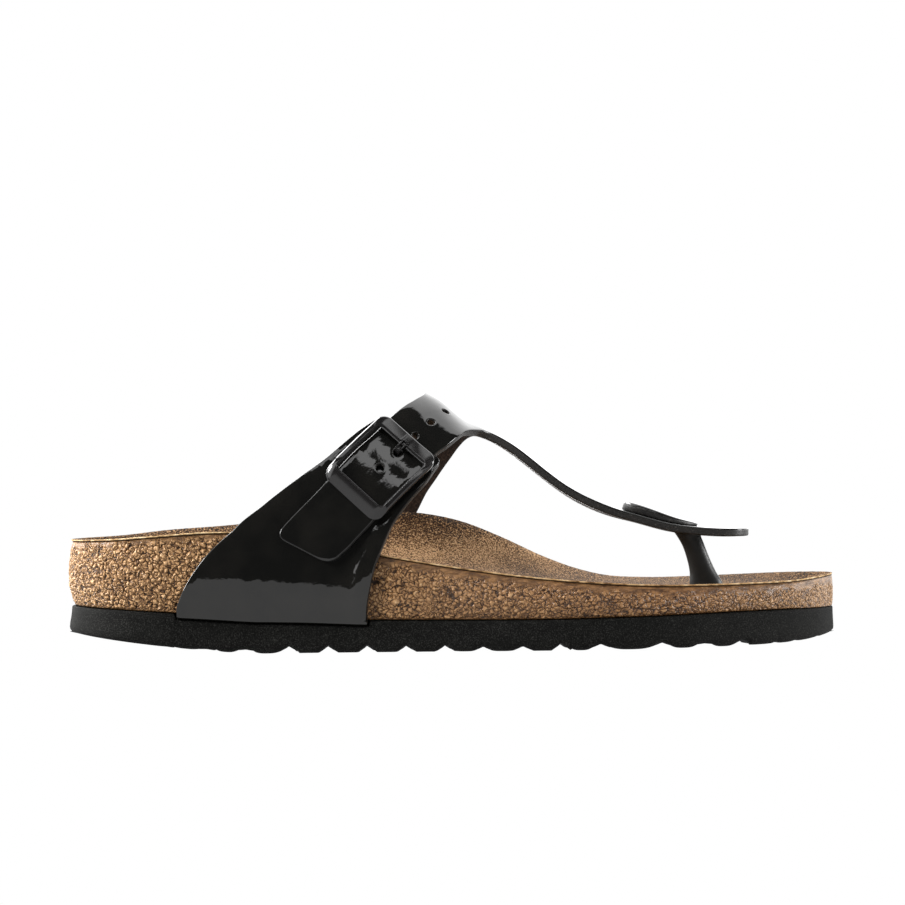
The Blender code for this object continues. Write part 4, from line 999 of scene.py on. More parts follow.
points, faces, side_faces = sole_piece(
    even_stations(LINER_STATIONS), [liner_ring(*row) for row in LINER_SIDE],
    (LINER_ROWS_UNDER, lay_at(lambda station, across: dish(station, across) - LINER_THICKNESS)),
    (LINER_ROWS_OVER, lay_at(dish)))
band = side_faces // (len(LINER_SIDE) - 1)
finish_of = np.zeros(len(faces), dtype=np.int32)
finish_of[:band * 2] = 2
finish_of[band * 2:band * 5] = 1
liner = new_piece("suede_liner", points, faces, [suede, suede_edge, gap_shade], finish_of)
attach(liner, "root")
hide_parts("liner")

# %% [markdown]
# ## Strap patterns
#
# A shoemaker cuts straps flat and pulls them over the last. The same way works here: an outline is drawn
# in a flat layout of station and girth, filled with small even triangles, and every corner is then placed
# on the last. Boolean cutters could punch the holes, but holes drawn in the pattern give cleaner gloss. A
# strap's edge is a row of rings swept round its outline: rounded patent above, a dark painted cut side,
# and the lining below.

# %% Patterns' sizes
STRAP_WIDTH = 20.6
LEG_WIDTH = 20.0
HOLE_DIAMETER = 2.4
QUARTER = [
    (0.147, -1.00, 3.0),
    (0.147, 0.04),
    (0.153, 0.224),
    (0.164, 0.423),
    (0.180, 0.635),
    (0.199, 0.827),
    (0.231, 1.019),
    (0.262, 1.069),
    (0.308, 1.1635),
    (0.346, 1.2665),
    (0.3985, 1.471),
    (0.413, 1.537, 7.0),
    (0.489, 1.425, 3.0),
    (0.471, 1.310),
    (0.454, 1.231),
    (0.437, 1.151),
    (0.426, 1.097),
    (0.417, 1.042),
    (0.405, 0.837),
    (0.3975, 0.498),
    (0.392, 0.170),
    (0.390, -1.00, 3.0),
]
TAIL_BACK = (0.2755, 0.958, 4.0)
TAIL_FRONT = (0.3465, 0.722, 4.0)
ARM_START = [(0.3446, 1.047), (0.3710, 1.128)]
HOLES = [(0.4100, 1.276), (0.4310, 1.363), (0.4516, 1.481), (0.4730, 1.597), (0.4880, 1.725)]
PUNCHED = HOLES[:2] + [(0.4516, 1.474), (0.4730, 1.579), (0.4880, 1.699)]  # where the holes end up
ARM = ARM_START + HOLES
EDGE_ROWS = 5  # so many places of the arm give nodes to its two edges
INSTEP_BACK = [(0.4406, 1.646), (0.4484, 1.706), (0.4600, 1.803), (0.4655, 2.000), (0.4630, 2.168),
               (0.4500, 2.371), (0.4320, 2.498), (0.4020, 2.624), (0.3710, 2.740), (0.3430, 2.816),
               (0.3006, 2.899), (0.2550, 2.969), (0.2240, 3.027), (0.1910, 3.301), (0.1710, 3.499),
               (0.1560, 3.718), (0.1480, 3.940)]
INSTEP_FRONT = [(0.425, 4.00), (0.427, 3.60), (0.437, 3.25), (0.454, 3.007), (0.468, 2.893), (0.482, 2.796),
                (0.4996, 2.642), (0.511, 2.513), (0.522, 2.375)]
INNER_CROTCH = (0.540, 2.170, 7.0)
OUTER_CROTCH = (0.540, 1.840, 5.0)
ARM_FRONT = [(0.5244, 1.722), (0.5137, 1.637), (0.5044, 1.551), (0.4932, 1.479)]
LEG = [(0.59, 1.05, 0.90), (0.64, 1.00, 0.95), (0.70, 1.00, 1.00), (0.75, 1.09, 1.09), (0.80, 1.20, 1.20),
       (0.85, 1.27, 1.27)]
LEG_END = 0.891
LEG_END_WIDTH = 1.16
LEG_END_RADIUS = 9.5
LAP_START, LAP_RUN = 0.05, 0.42
LAP_LATER, LAP_LATER_BEFORE, LAP_LATER_RUN = 0.25, 0.535, 0.10
LEG_TWIST = 0.9
TWIST_BACK, TWIST_FRONT = 0.62, 0.75
LEG_GIRTH = 0.22
GIRTH_LENGTHS = [MARGIN, 22.0, 85.0, 55.0, 22.0, MARGIN]
print("pattern rows:", len(QUARTER), len(INSTEP_BACK) + len(INSTEP_FRONT))


# %% Flat layout and outline curves
def flat(station, girth):
    """A place on the last, laid out flat in millimetres."""
    run = max(0, min(5, floor(girth) + 1))
    below = sum(GIRTH_LENGTHS[:run]) - MARGIN
    return Vector((station * SOLE_LENGTH, below + GIRTH_LENGTHS[run] * (girth - run + 1)))


def unflat(spot):
    rest, run = spot[1] + MARGIN, 0
    while run < 5 and rest > GIRTH_LENGTHS[run]:
        rest -= GIRTH_LENGTHS[run]
        run += 1
    return spot[0] / SOLE_LENGTH, run - 1 + rest / GIRTH_LENGTHS[run]


def curve_through(points, step):
    """Points a step apart on a smooth curve through the given flat points."""
    result = [points[0]]
    for index in range(len(points) - 1):
        a, b = points[index], points[index + 1]
        before = points[index - 1] if index else a
        after = points[index + 2] if index + 2 < len(points) else b
        run = (b - a).length
        start = (b - before) / ((b - a).length + (a - before).length) * run
        end = (after - a) / ((after - b).length + (b - a).length) * run
        count = max(1, ceil(run / step))
        result += [bend_between(a, b - a, start, end, part / count) for part in range(1, count + 1)]
    return result


def shorten(points, length):
    points = list(points)
    while len(points) > 2 and (points[-1] - points[-2]).length < length:
        length -= (points[-1] - points[-2]).length
        points.pop()
    last_run = points[-1] - points[-2]
    points[-1] = points[-1] - last_run * min(length / last_run.length, 0.9)
    return points


def trace(nodes, step):
    """A closed flat outline through nodes of station, girth and any corner radius, with even steps."""
    spots = [(flat(node[0], node[1]), node[2] if len(node) > 2 else 0.0) for node in nodes]
    first = next(index for index, spot in enumerate(spots) if spot[1])
    spots = spots[first:] + spots[:first + 1]
    runs = []
    for spot, radius in spots:
        if runs:
            runs[-1][0].append(spot)
        if radius:
            runs.append(([spot], radius))
    runs.pop()
    sampled = [curve_through(run, step) for run, _ in runs]
    radii = [radius for _, radius in runs]
    outline = []
    for index, run in enumerate(sampled):
        ahead = (index + 1) % len(runs)
        cut = shorten(shorten(run, radii[ahead])[::-1], radii[index])[::-1]
        after = shorten(sampled[ahead][::-1], radii[ahead])[-1]
        outline += cut
        parts = max(4, ceil(radii[ahead] * 1.6 / step))
        for part in range(1, parts):
            t = part / parts
            outline.append(cut[-1] * (1 - t) ** 2 + run[-1] * 2 * t * (1 - t) + after * t ** 2)
    return even_loop(outline, step)


def as_array(loop):
    return np.array([tuple(spot) for spot in loop])


def even_loop(loop, step):
    """The same loop with points an even step apart."""
    spots = as_array(loop + loop[:1])
    lengths = np.concatenate(([0.0], np.cumsum(np.hypot(*np.diff(spots, axis=0).T))))
    count = max(12, int(round(lengths[-1] / step)))
    marks = np.linspace(0, lengths[-1], count, endpoint=False)
    return [Vector(spot) for spot in zip(*(np.interp(marks, lengths, column) for column in spots.T))]


def shifted(loop, distance):
    """A flat loop moved to its left by a distance, which is inwards where the loop runs counterclockwise."""
    result = []
    for index, spot in enumerate(loop):
        run = loop[(index + 1) % len(loop)] - loop[index - 1]
        result.append(spot + Vector((-run.y, run.x)).normalized() * distance)
    return result


def area(loop):
    return sum(a.x * b.y - b.x * a.y for a, b in zip(loop, loop[1:] + loop[:1])) / 2


OUTLINE_STEP = 1.0
quarter_outline = trace(QUARTER, OUTLINE_STEP)
print("quarter outline:", len(quarter_outline), "points,", round(abs(area(quarter_outline))), "mm2 flat")


# %% Fill a pattern with even triangles
FOLD_GIRTH = FOLD_RADIUS * pi / 2 / MARGIN
FOLD_ROWS = [-FOLD_GIRTH * part / 6 for part in range(7)] + [4 + FOLD_GIRTH * part / 6 for part in range(7)]
HOLE_CLEAR = 2.6  # the even grid stays this far off a hole, where these rings take over
HOLE_RINGS = (0.3, 0.65, 1.1, 1.7)
ROW_SPACING = 0.866  # rows of even triangles lie this share of their side apart


def inside(loops, spots):
    """Which flat points lie inside the first loop and outside the others."""
    odd = np.zeros(len(spots), dtype=bool)
    for loop in loops:
        corners = as_array(loop)
        for a, b in zip(corners, np.roll(corners, -1, axis=0)):
            crossing = (a[1] > spots[:, 1]) != (b[1] > spots[:, 1])
            if crossing.any():
                at = a[0] + (b[0] - a[0]) * (spots[:, 1] - a[1]) / (b[1] - a[1] if b[1] != a[1] else 1)
                odd ^= crossing & (spots[:, 0] < at)
    return odd


def distance_to(loop, spots):
    near = np.full(len(spots), 1e9)
    corners = as_array(loop)
    for a, b in zip(corners, np.roll(corners, -1, axis=0)):
        side = b - a
        share = np.clip(((spots - a) @ side) / (side @ side), 0, 1)
        near = np.minimum(near, np.hypot(*(spots - a - share[:, None] * side).T))
    return near


def cross_rows(outline, rows):
    """Adds a point wherever the outline crosses a row."""
    result = []
    for spot, ahead in zip(outline, outline[1:] + outline[:1]):
        result.append(spot)
        shares = sorted((row - spot[1]) / (ahead[1] - spot[1]) for row in rows
                        if min(spot[1], ahead[1]) < row < max(spot[1], ahead[1]))
        result += [spot.lerp(ahead, share) for share in shares if 0.01 < share < 0.99]
    return result


def fill(outline, holes, pitch):
    """Flat triangles between an outline and its holes: the places, the faces, and the loops' corners."""
    creases = [flat(0.0, girth)[1] for girth in FOLD_ROWS]
    outline = cross_rows(outline, creases)
    corners = as_array(outline)
    low, high = corners.min(axis=0), corners.max(axis=0)
    rows = [(crease, 0.0) for crease in creases]
    marks = sorted([low[1], high[1]] + creases)
    for below, above in zip(marks, marks[1:]):
        parts = ceil((above - below) / (pitch * ROW_SPACING))
        rows += [(below + (above - below) * part / parts, part % 2 * pitch / 2) for part in range(1, parts)]
    grid = np.array([(x + shift, y) for y, shift in rows for x in np.arange(low[0], high[0], pitch)])

    def within(spots, margin):
        return spots[inside([outline] + holes, spots) & (distance_to(outline, spots) > pitch * margin)]

    grid = within(grid, 0.55)
    for hole in holes:
        grid = grid[distance_to(hole, grid) > HOLE_CLEAR]
    if holes:
        rings = [spot for hole in holes for out in HOLE_RINGS for spot in shifted(hole, out)]
        grid = np.concatenate([grid, within(as_array(rings), 0.4)])
    points, edges, loops = [], [], []
    for loop in [outline] + holes:
        start = len(points)
        points += loop
        loops.append(list(range(start, len(points))))
        edges += [(start + index, start + (index + 1) % len(loop)) for index in range(len(loop))]
    points += [Vector(spot) for spot in grid]
    spots, _, faces, originals, *_ = delaunay_2d_cdt(points, edges, [], 0, 1e-6)
    number = {original: index for index, group in enumerate(originals) for original in group}
    middles = np.array([tuple((spots[a] + spots[b] + spots[c]) / 3) for a, b, c in faces])
    kept = [tuple(face) for face, ok in zip(faces, inside([outline] + holes, middles)) if ok]
    return [unflat(spot) for spot in spots], kept, [[number[corner] for corner in loop] for loop in loops]


# How a strap's edge runs from the lining to the patent: out from the pattern, and share of the thickness
EDGE = [(0.00, 0.00), (0.22, 0.03), (0.32, 0.10), (0.34, 0.28), (0.32, 0.48), (0.36, 0.66), (0.35, 0.84),
        (0.27, 0.93), (0.13, 0.985), (0.00, 1.00)]
EDGE_OUT = max(row[0] for row in EDGE)
HOLE_EDGE = 0.6  # a hole's edge stands out by this share of it
PAINTED = 7  # the painted rows of an outline's edge; in a hole all are


def outer_face(girth, base, off, extra):
    """The patent face over a point of the lining; the bend under the cork is pared and nearly square."""
    level = girth if girth <= 2 else 4 - girth
    if level >= 0:
        return base + off * (UPPER_THICKNESS + extra)
    angle = min(-level * MARGIN / FOLD_RADIUS, pi / 2)
    middle = base - off * FOLD_RADIUS
    out = Vector((0, SIDE["out" if girth <= 2 else "in"], 0))
    return (middle + out * (FOLD_RADIUS + UPPER_THICKNESS) * cos(angle) ** 0.55
            - Vector((0, 0, 1)) * (FOLD_RADIUS + MARGIN_THICKNESS) * sin(angle) ** 0.55)


def strap(name, nodes, holes, lift, pitch=1.5, dent=None):
    """Lays a pattern on the last as a strap with a lining, a painted edge and a patent face."""
    outline = trace(nodes, OUTLINE_STEP)
    if area(outline) < 0:
        outline.reverse()
    cuts = [shifted(hole if area(hole) < 0 else hole[::-1], EDGE_OUT * HOLE_EDGE) for hole in holes]
    places, faces, loops = fill(shifted(outline, EDGE_OUT), cuts, pitch)
    used = sorted({corner for face in faces for corner in face})
    number = {corner: index for index, corner in enumerate(used)}
    normals = [normal(*places[corner]) for corner in used]
    low, high = [], []
    for corner, off in zip(used, normals):
        base = last_point(*places[corner]) + off * lift(*places[corner])
        low.append(base)
        high.append(outer_face(places[corner][1], base, off, dent(base) if dent else 0.0))
    count = len(used)
    points = low + high
    solid = [tuple(number[corner] for corner in face[::-1]) for face in faces]
    solid += [tuple(number[corner] + count for corner in face) for face in faces]
    finish_of = [2] * len(faces) + [0] * len(faces)
    for order, loop in enumerate(loops):
        loop = [number[corner] for corner in loop]
        reach = HOLE_EDGE if order else 1.0
        previous = loop
        for row, (out, share) in enumerate(EDGE[1:], 1):
            if row == len(EDGE) - 1:
                ring = [corner + count for corner in loop]
            else:
                ring = list(range(len(points), len(points) + len(loop)))
                for index, corner in enumerate(loop):
                    run = low[loop[(index + 1) % len(loop)]] - low[loop[index - 1]]
                    outward = run.cross(normals[corner]).normalized()
                    points.append(low[corner].lerp(high[corner], share) + outward * out * reach)
            solid += bridge(previous, ring)
            finish_of += [1 if row < PAINTED or order else 0] * len(ring)
            previous = ring
    return new_piece(name, points, solid, [patent, cut_side, lining], np.array(finish_of, dtype=np.int32))


print("edge rows:", len(EDGE))

# %% [markdown]
# ## Patent finishes
#
# Patent is leather or a synthetic under a thick clear lacquer: almost black, smooth as a mirror, with slow
# waves from the material below and a faint fine ripple. The waves are what makes its reflections ragged,
# so the bump has three sizes: about 15 mm wide and a few hundredths of a millimetre deep, 4.5 mm wide and
# less than half as deep, and just under 1 mm wide and far shallower.

# %% Patent, painted edge and lining
# Black patent: lacquer of index 1.5 over black, so what it mirrors is a twenty-fifth as bright
patent, tree, shader, place = new_finish("black_patent_lacquer", "#0b0b0a", 0.035, IOR=1.5)
slow, quick, ripple = (add(tree, "ShaderNodeTexNoise", {"Vector": place, "Scale": per_mm(size),
                                                        "Detail": 1.0}).outputs[0] for size in (15, 4.5, 0.9))
waves = add(tree, "ShaderNodeMath", {0: quick, 1: 0.4, 2: slow}, operation="MULTIPLY_ADD").outputs[0]
waves = add(tree, "ShaderNodeMath", {0: ripple, 1: 0.05, 2: waves}, operation="MULTIPLY_ADD").outputs[0]
bump = add(tree, "ShaderNodeBump", {"Height": waves, "Distance": 0.16 * MM, "Strength": 1.0})
haze = add(tree, "ShaderNodeTexNoise", {"Vector": place, "Scale": per_mm(11), "Detail": 4.0}).outputs[0]
colour = add(tree, "ShaderNodeValToRGB", {"Fac": haze}, [(0.4, "#0b0b0a"), (0.75, "#151412")])
dust = add(tree, "ShaderNodeMapRange", {"Value": haze, "To Min": 0.02, "To Max": 0.06})
wire(tree, shader, {"Base Color": colour.outputs["Color"], "Roughness": dust.outputs[0],
                    "Normal": bump.outputs["Normal"]})
# The cut side is painted black: satin, with the fibres of the core as pale specks
cut_side, tree, shader, place = new_finish("painted_strap_edge", "#1c1b1a", 0.45)
fibres = add(tree, "ShaderNodeTexNoise", {"Vector": place, "Scale": per_mm(0.6), "Detail": 3.0,
                                          "Roughness": 0.7}).outputs[0]
colour = add(tree, "ShaderNodeValToRGB", {"Fac": fibres},
             [(0.45, "#131211"), (0.62, "#242220"), (0.76, "#6b6660")])
bump = add(tree, "ShaderNodeBump", {"Height": fibres, "Distance": 0.05 * MM, "Strength": 0.7})
wire(tree, shader, {"Base Color": colour.outputs["Color"], "Normal": bump.outputs["Normal"]})
# The lining is a dark brown synthetic felt, dull and slightly fibrous
lining, tree, shader, place = new_finish("brown_felt_lining", "#2f241d", 0.9, Specular_IOR_Level=0.12,
                                         Sheen_Weight=0.5, Sheen_Roughness=0.4)
felt = add(tree, "ShaderNodeTexNoise", {"Vector": place, "Scale": per_mm(0.8), "Detail": 4.0,
                                        "Roughness": 0.7}).outputs[0]
colour = add(tree, "ShaderNodeValToRGB", {"Fac": felt},
             [(0.35, "#1d1612"), (0.55, "#30251e"), (0.75, "#4a3a2f")])
bump = add(tree, "ShaderNodeBump", {"Height": felt, "Distance": 0.2 * MM, "Strength": 0.8})
wire(tree, shader, {"Base Color": colour.outputs["Color"], "Normal": bump.outputs["Normal"]})
print("finishes:", patent.name, cut_side.name, lining.name)


# %% Quarter
FRONT_BELLY = 1.3
BELLY_SOFT = 4.0  # it starts twice this far behind the edge, and is full once this far behind it
BELLY_FROM, BELLY_TOP, BELLY_TO = 8.0, 27.0, 52.0  # heights over the floor
FRONT_EDGE = sorted((node[1], node[0]) for node in QUARTER[12:21])


def quarter_lift(station, girth):
    """The quarter stands off the foot a little along its front edge."""
    edge = float(np.interp(girth, *zip(*FRONT_EDGE)))
    near = ease((station - edge) * SOLE_LENGTH / BELLY_SOFT + 2.0)
    if near == 0.0:
        return 0.0
    height = last_point(station, girth).z
    rise = ease((height - BELLY_FROM) / (BELLY_TOP - BELLY_FROM))
    fall = ease((BELLY_TO - height) / (BELLY_TO - BELLY_TOP))
    return FRONT_BELLY * near * rise * fall


quarter = strap("patent_quarter", QUARTER, [], quarter_lift)
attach(quarter, "root")
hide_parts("quarter")

# %% Long strap: outline and holes
def arm_edge(sign):
    places = []
    for index, (station, girth) in enumerate(ARM[:EDGE_ROWS]):
        ahead, before = last_point(*ARM[index + 1]), last_point(*ARM[max(index - 1, 0)])
        way = normal(station, girth).cross(ahead - before).normalized() * sign
        places.append(walk(station, girth, way, STRAP_WIDTH / 2))
    return places


def leg_edge(side):
    way = Vector((0, SIDE[side], 0))
    return [walk(station, 2.0, way, LEG_WIDTH / 2 * (outer if side == "out" else inner))
            for station, outer, inner in LEG]


def thong_outline():
    nodes = [TAIL_BACK] + arm_edge(1) + INSTEP_BACK + [(station, 5.0, 3.0) for station in MARGINS["in"]]
    nodes += INSTEP_FRONT + [INNER_CROTCH] + leg_edge("in")
    for side in ("in", "out"):
        end = walk(LEG_END, 2.0, Vector((0, SIDE[side], 0)), LEG_WIDTH * LEG_END_WIDTH / 2)
        nodes.append((LEG_END, end[1], LEG_END_RADIUS))
    return nodes + leg_edge("out")[::-1] + [OUTER_CROTCH] + ARM_FRONT + arm_edge(-1)[::-1] + [TAIL_FRONT]


def round_hole(station, girth, length, width, count):
    """A flat loop that becomes an oval hole on the last."""
    ahead = tangents(station, girth)[0].normalized()
    aside = normal(station, girth).cross(ahead).normalized()
    spots = []
    for angle in round_angles(count):
        way = ahead * cos(angle) * length / 2 + aside * sin(angle) * width / 2
        spots.append(flat(*walk(station, girth, way, way.length, 2)))
    return spots


POST_AT = 0.812
STEM_LENGTH = 5.0
STEM_THICKNESS = 3.0
hole_loops = [round_hole(s, g, HOLE_DIAMETER, HOLE_DIAMETER, 24) for s, g in PUNCHED]
hole_loops.append(round_hole(POST_AT, 2.0, STEM_LENGTH + 2 * GAP, STEM_THICKNESS + 2 * GAP, 24))
print("holes:", len(hole_loops))


# %% Long strap
def leg_twist(station, girth):
    """How far the leg hangs below the last, most at its inner edge."""
    if not TWIST_BACK < station < TWIST_FRONT:
        return 0.0
    along = sin(pi * (station - TWIST_BACK) / (TWIST_FRONT - TWIST_BACK)) ** 2
    return LEG_TWIST * along * (1 + (girth - 2) / LEG_GIRTH) / 2


def thong_lift(station, girth):
    """How far the long strap stands off the last, where it runs over the quarter."""
    back, front = QUARTER[11], QUARTER[12]
    end = back[1] + (front[1] - back[1]) * (station - back[0]) / (front[0] - back[0])
    behind = ease((LAP_LATER_BEFORE - station) / LAP_LATER_RUN)
    past = ease((girth - end - LAP_START - LAP_LATER * behind) / LAP_RUN)
    return (UPPER_THICKNESS + GAP) * (1 - past) - leg_twist(station, girth)


LIP_HEIGHT, LIP_RADIUS, LIP_WIDTH = 0.05, 1.75, 0.38
hole_middles = [last_point(s, g) + normal(s, g) * thong_lift(s, g) for s, g in PUNCHED]


def punched(spot):
    """Punching leaves a low lip round each hole."""
    return sum(LIP_HEIGHT * np.exp(-(((spot - middle).length - LIP_RADIUS) / LIP_WIDTH) ** 2)
               for middle in hole_middles)


thong = strap("patent_thong", thong_outline(), hole_loops, thong_lift, dent=punched)
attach(thong, "root")
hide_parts("thong_strap")

# %% [markdown]
# ## Buckle
#
# The frame is a cast metal rectangle with a wide bar towards the strap's end, a narrow bar at the top, and
# a step all round the inside. A Bevel modifier on a box with a window would give even edges but not the
# step, so the frame is swept as one closed section round a rounded rectangle, on the buckle's own axes:
# ahead along the strap, aside across it, and up off the strap.

# %% Buckle finish
# Black enamelled casting: satin rather than glossy, so its flat faces mirror broad soft patches and only
# its small bevels catch a bright line
enamel, tree, shader, place = new_finish("black_enamelled_casting", "#161515", 0.2, IOR=1.5)
cast = add(tree, "ShaderNodeTexNoise", {"Vector": place, "Scale": per_mm(0.7), "Detail": 2.0}).outputs[0]
satin = add(tree, "ShaderNodeMapRange", {"Value": cast, "To Min": 0.08, "To Max": 0.18})
wire(tree, shader, {"Roughness": satin.outputs[0]})
print("finish:", enamel.name)

# %% Buckle's axes
BUCKLE_LENGTH = 29.6
BUCKLE_WIDTH = 24.4
FRONT_BAR = 3.7
REAR_BAR = 4.3
RAIL = 1.7
seat_rest = 2 * UPPER_THICKNESS + 2 * GAP
seat_place = HOLES[0]
seat_middle = on_last(*seat_place, seat_rest)
seat_off = normal(*seat_place)
seat_way = last_point(*HOLES[1]) - last_point(*ARM_START[-1])
seat_ahead = (seat_way - seat_off * seat_way.dot(seat_off)).normalized()
seat_aside = seat_off.cross(seat_ahead)


def on_seat(ahead, aside, height):
    """The point over the strap that lies ahead and aside of the buckle's middle."""
    station, girth = seat_place
    for _ in range(6):
        spot = on_last(station, girth, seat_rest) - seat_middle
        miss_ahead, miss_aside = ahead - spot.dot(seat_ahead), aside - spot.dot(seat_aside)
        along, around = tangents(station, girth)
        aa, ab = along.dot(seat_ahead), around.dot(seat_ahead)
        ba, bb = along.dot(seat_aside), around.dot(seat_aside)
        spread = aa * bb - ab * ba
        station += (miss_ahead * bb - miss_aside * ab) / spread
        girth += (miss_aside * aa - miss_ahead * ba) / spread
    return on_last(station, girth, seat_rest) + seat_off * height


def rounded_loop(back, front, half_width, radius, corner_parts=10, side_parts=48):
    """A rounded rectangle's points, from back to front and half a width to each side."""
    corners = ((front, half_width, 0), (back, half_width, 1), (back, -half_width, 2), (front, -half_width, 3))
    arcs = []
    for ahead, aside, quarter_turn in corners:
        middle = (ahead - radius * (1 if ahead == front else -1), aside - radius * (1 if aside > 0 else -1))
        angles = [(quarter_turn + part / corner_parts) * pi / 2 for part in range(corner_parts + 1)]
        arcs.append([(middle[0] + radius * cos(a), middle[1] + radius * sin(a)) for a in angles])
    loop = []
    for index, arc in enumerate(arcs):
        loop += arc
        start, end = arc[-1], arcs[(index + 1) % 4][0]
        for part in range(1, side_parts):
            share = part / side_parts
            loop.append((start[0] + (end[0] - start[0]) * share, start[1] + (end[1] - start[1]) * share))
    return loop


print("buckle middle:", tuple(round(v, 1) for v in seat_middle), "mm on the last, facing",
      tuple(round(v, 2) for v in seat_off))

# %% Buckle frame
back, front, half = -BUCKLE_LENGTH / 2, BUCKLE_LENGTH / 2, BUCKLE_WIDTH / 2
NOTCH_WIDTH = 3.0
NOTCH_DEPTH = 1.1
NOTCH_SLOPE = 0.45
LEDGE = 1.35  # the ledge inside the top bar is this much wider than the others
BAR_END, RAIL_END = 2.5, 6.5  # how far from the frame's end a bar's height holds, and a rail's begins
# How far in from the outline at the rear bar, the top bar and the rails, as shares of their widths, and
# millimetres more; the corner's radius; the height at the rear bar, the rails and the top bar; notched
# for the prong or not
FRAME_SECTION = [
    (1.0, 0.30, 1.4, 0.05, 0.05, 0.05, False),
    (0.0, 0.50, 3.1, 0.00, 0.00, 0.00, False),
    (0.0, 0.06, 3.5, 0.15, 0.15, 0.15, False),
    (0.0, 0.00, 3.6, 0.20, 0.80, 1.00, False),
    (0.0, 0.00, 3.6, 0.30, 2.00, 2.45, False),
    (0.0, 0.05, 3.55, 0.36, 2.08, 2.55, False),
    (0.0, 0.40, 3.25, 0.48, 2.42, 2.90, False),
    (0.0, 0.46, 3.2, 0.52, 2.46, 2.92, False),
    (0.0, 0.54, 3.1, 0.58, 2.47, 2.90, False),
    (1.0, -0.30, 1.9, 2.74, 2.60, 2.34, True),
    (1.0, -0.12, 1.8, 2.82, 2.60, 2.30, True),
    (1.0, -0.06, 1.7, 2.79, 2.57, 2.27, True),
    (1.0, -0.01, 1.62, 2.68, 2.48, 2.17, True),
    (1.0, 0.00, 1.6, 2.40, 2.30, 2.04, True),
    (1.0, 0.04, 1.55, 1.80, 1.66, 1.50, True),
    (1.0, 0.10, 1.5, 1.72, 1.58, 1.46, True),
    (1.0, 0.58, 1.45, 1.70, 1.50, 1.42, False),
]


def frame_ring(share, more, radius, rear_height, rail_height, top_height, notched):
    """One ring of the frame, on the strap's curve."""
    ledge = LEDGE if share and more > 0.3 else 1.0
    loop = rounded_loop(back + REAR_BAR * share + more, front - FRONT_BAR * share - more * ledge,
                        half - RAIL * share - more, radius)
    ring = []
    for ahead, aside in loop:
        height = float(np.interp(ahead, [back + BAR_END, back + RAIL_END, front - RAIL_END, front - BAR_END],
                                 [rear_height, rail_height, rail_height, top_height]))
        if notched and ahead > front - FRONT_BAR - 1:
            ahead += NOTCH_DEPTH * max(0.0, min(1.0, (NOTCH_WIDTH / 2 - abs(aside)) / NOTCH_SLOPE))
        ring.append(on_seat(ahead, aside, height))
    return ring


rings = [frame_ring(*row) for row in FRAME_SECTION]
points, faces = stack(rings, closed=False)
count = len(rings[0])
faces += bridge(range(len(points) - count, len(points)), range(count))
buckle = new_piece("buckle_casting", points, faces, [enamel])
buckle.data.set_sharp_from_angle(angle=radians(60))
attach(buckle, "root")
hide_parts("buckle_frame")

# %% Buckle prong
hole_ahead = (on_last(*HOLES[1], seat_rest) - seat_middle).dot(seat_ahead)
bar_at = front - FRONT_BAR
# The prong is a small ladder that ends in a pin. Each bar: where it starts and ends, ahead, aside and over
# the strap, its width and its thickness
PRONG_BARS = [
    ((bar_at + 0.85, -1.0, 2.50), (bar_at + 0.85, 1.0, 2.50), 0.55, 0.60),
    ((bar_at + 0.95, -0.85, 2.40), (bar_at - 2.9, -0.85, 1.70), 0.50, 0.70),
    ((bar_at + 0.95, 0.85, 2.40), (bar_at - 2.9, 0.85, 1.70), 0.50, 0.70),
    ((bar_at - 0.55, -0.9, 2.00), (bar_at - 0.55, 0.9, 2.00), 0.40, 0.50),
    ((bar_at - 2.3, -1.05, 1.72), (bar_at - 2.3, 1.05, 1.72), 1.40, 0.65),
    ((hole_ahead + 1.0, 0.0, 1.60), (hole_ahead - 0.1, 0.0, -2.4), 2.00, 1.30),
]


def rounded_bar(start, end, width, thick, parts=20, power=0.4):
    """A bar with rounded edges between two places over the strap."""
    run = (Vector(end) - Vector(start)).normalized()
    wide = run.cross(Vector((0, 0, 1))).normalized()
    high = wide.cross(run)
    bar_rings = []
    for share, size in ((0.0, 0.75), (0.04, 1.0), (0.96, 1.0), (1.0, 0.75)):
        middle = Vector(start).lerp(Vector(end), share)
        ring = []
        for angle in round_angles(parts, 0.5):
            across = np.sign(cos(angle)) * abs(cos(angle)) ** power * width / 2 * size
            up = np.sign(sin(angle)) * abs(sin(angle)) ** power * thick / 2 * size
            ring.append(on_seat(*(middle + wide * across + high * up)))
        bar_rings.append(ring)
    return stack(bar_rings)


points, faces = [], []
for bar in PRONG_BARS:
    bar_points, bar_faces = rounded_bar(*bar)
    faces += [tuple(corner + len(points) for corner in face) for face in bar_faces]
    points += bar_points
prong = new_piece("buckle_prong_tip", points, faces, [enamel])
prong.data.set_sharp_from_angle(angle=radians(50))
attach(prong, "root")
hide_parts("buckle_prong")

# %% [markdown]
# ## Toe post and button
#
# The post is moulded rubber: it flares where it leaves the cork and again where it meets the leg, and leans
# back a little. The button over it is a patent oval, thick at the rear and thin in front. Both are stacks
# of rings whose sizes follow a smooth curve through a short table.

# %% Rubber finish
# Moulded rubber: satin black, with a faint bloom and the mould's fine texture
rubber, tree, shader, place = new_finish("moulded_black_rubber", "#161615", 0.4, Specular_IOR_Level=0.45)
mould = add(tree, "ShaderNodeTexNoise", {"Vector": place, "Scale": per_mm(0.7), "Detail": 3.0}).outputs[0]
bloom = add(tree, "ShaderNodeMapRange", {"Value": mould, "To Min": 0.3, "To Max": 0.5})
bump = add(tree, "ShaderNodeBump", {"Height": mould, "Distance": 0.03 * MM, "Strength": 0.5})
wire(tree, shader, {"Roughness": bloom.outputs[0], "Normal": bump.outputs["Normal"]})
print("finish:", rubber.name)

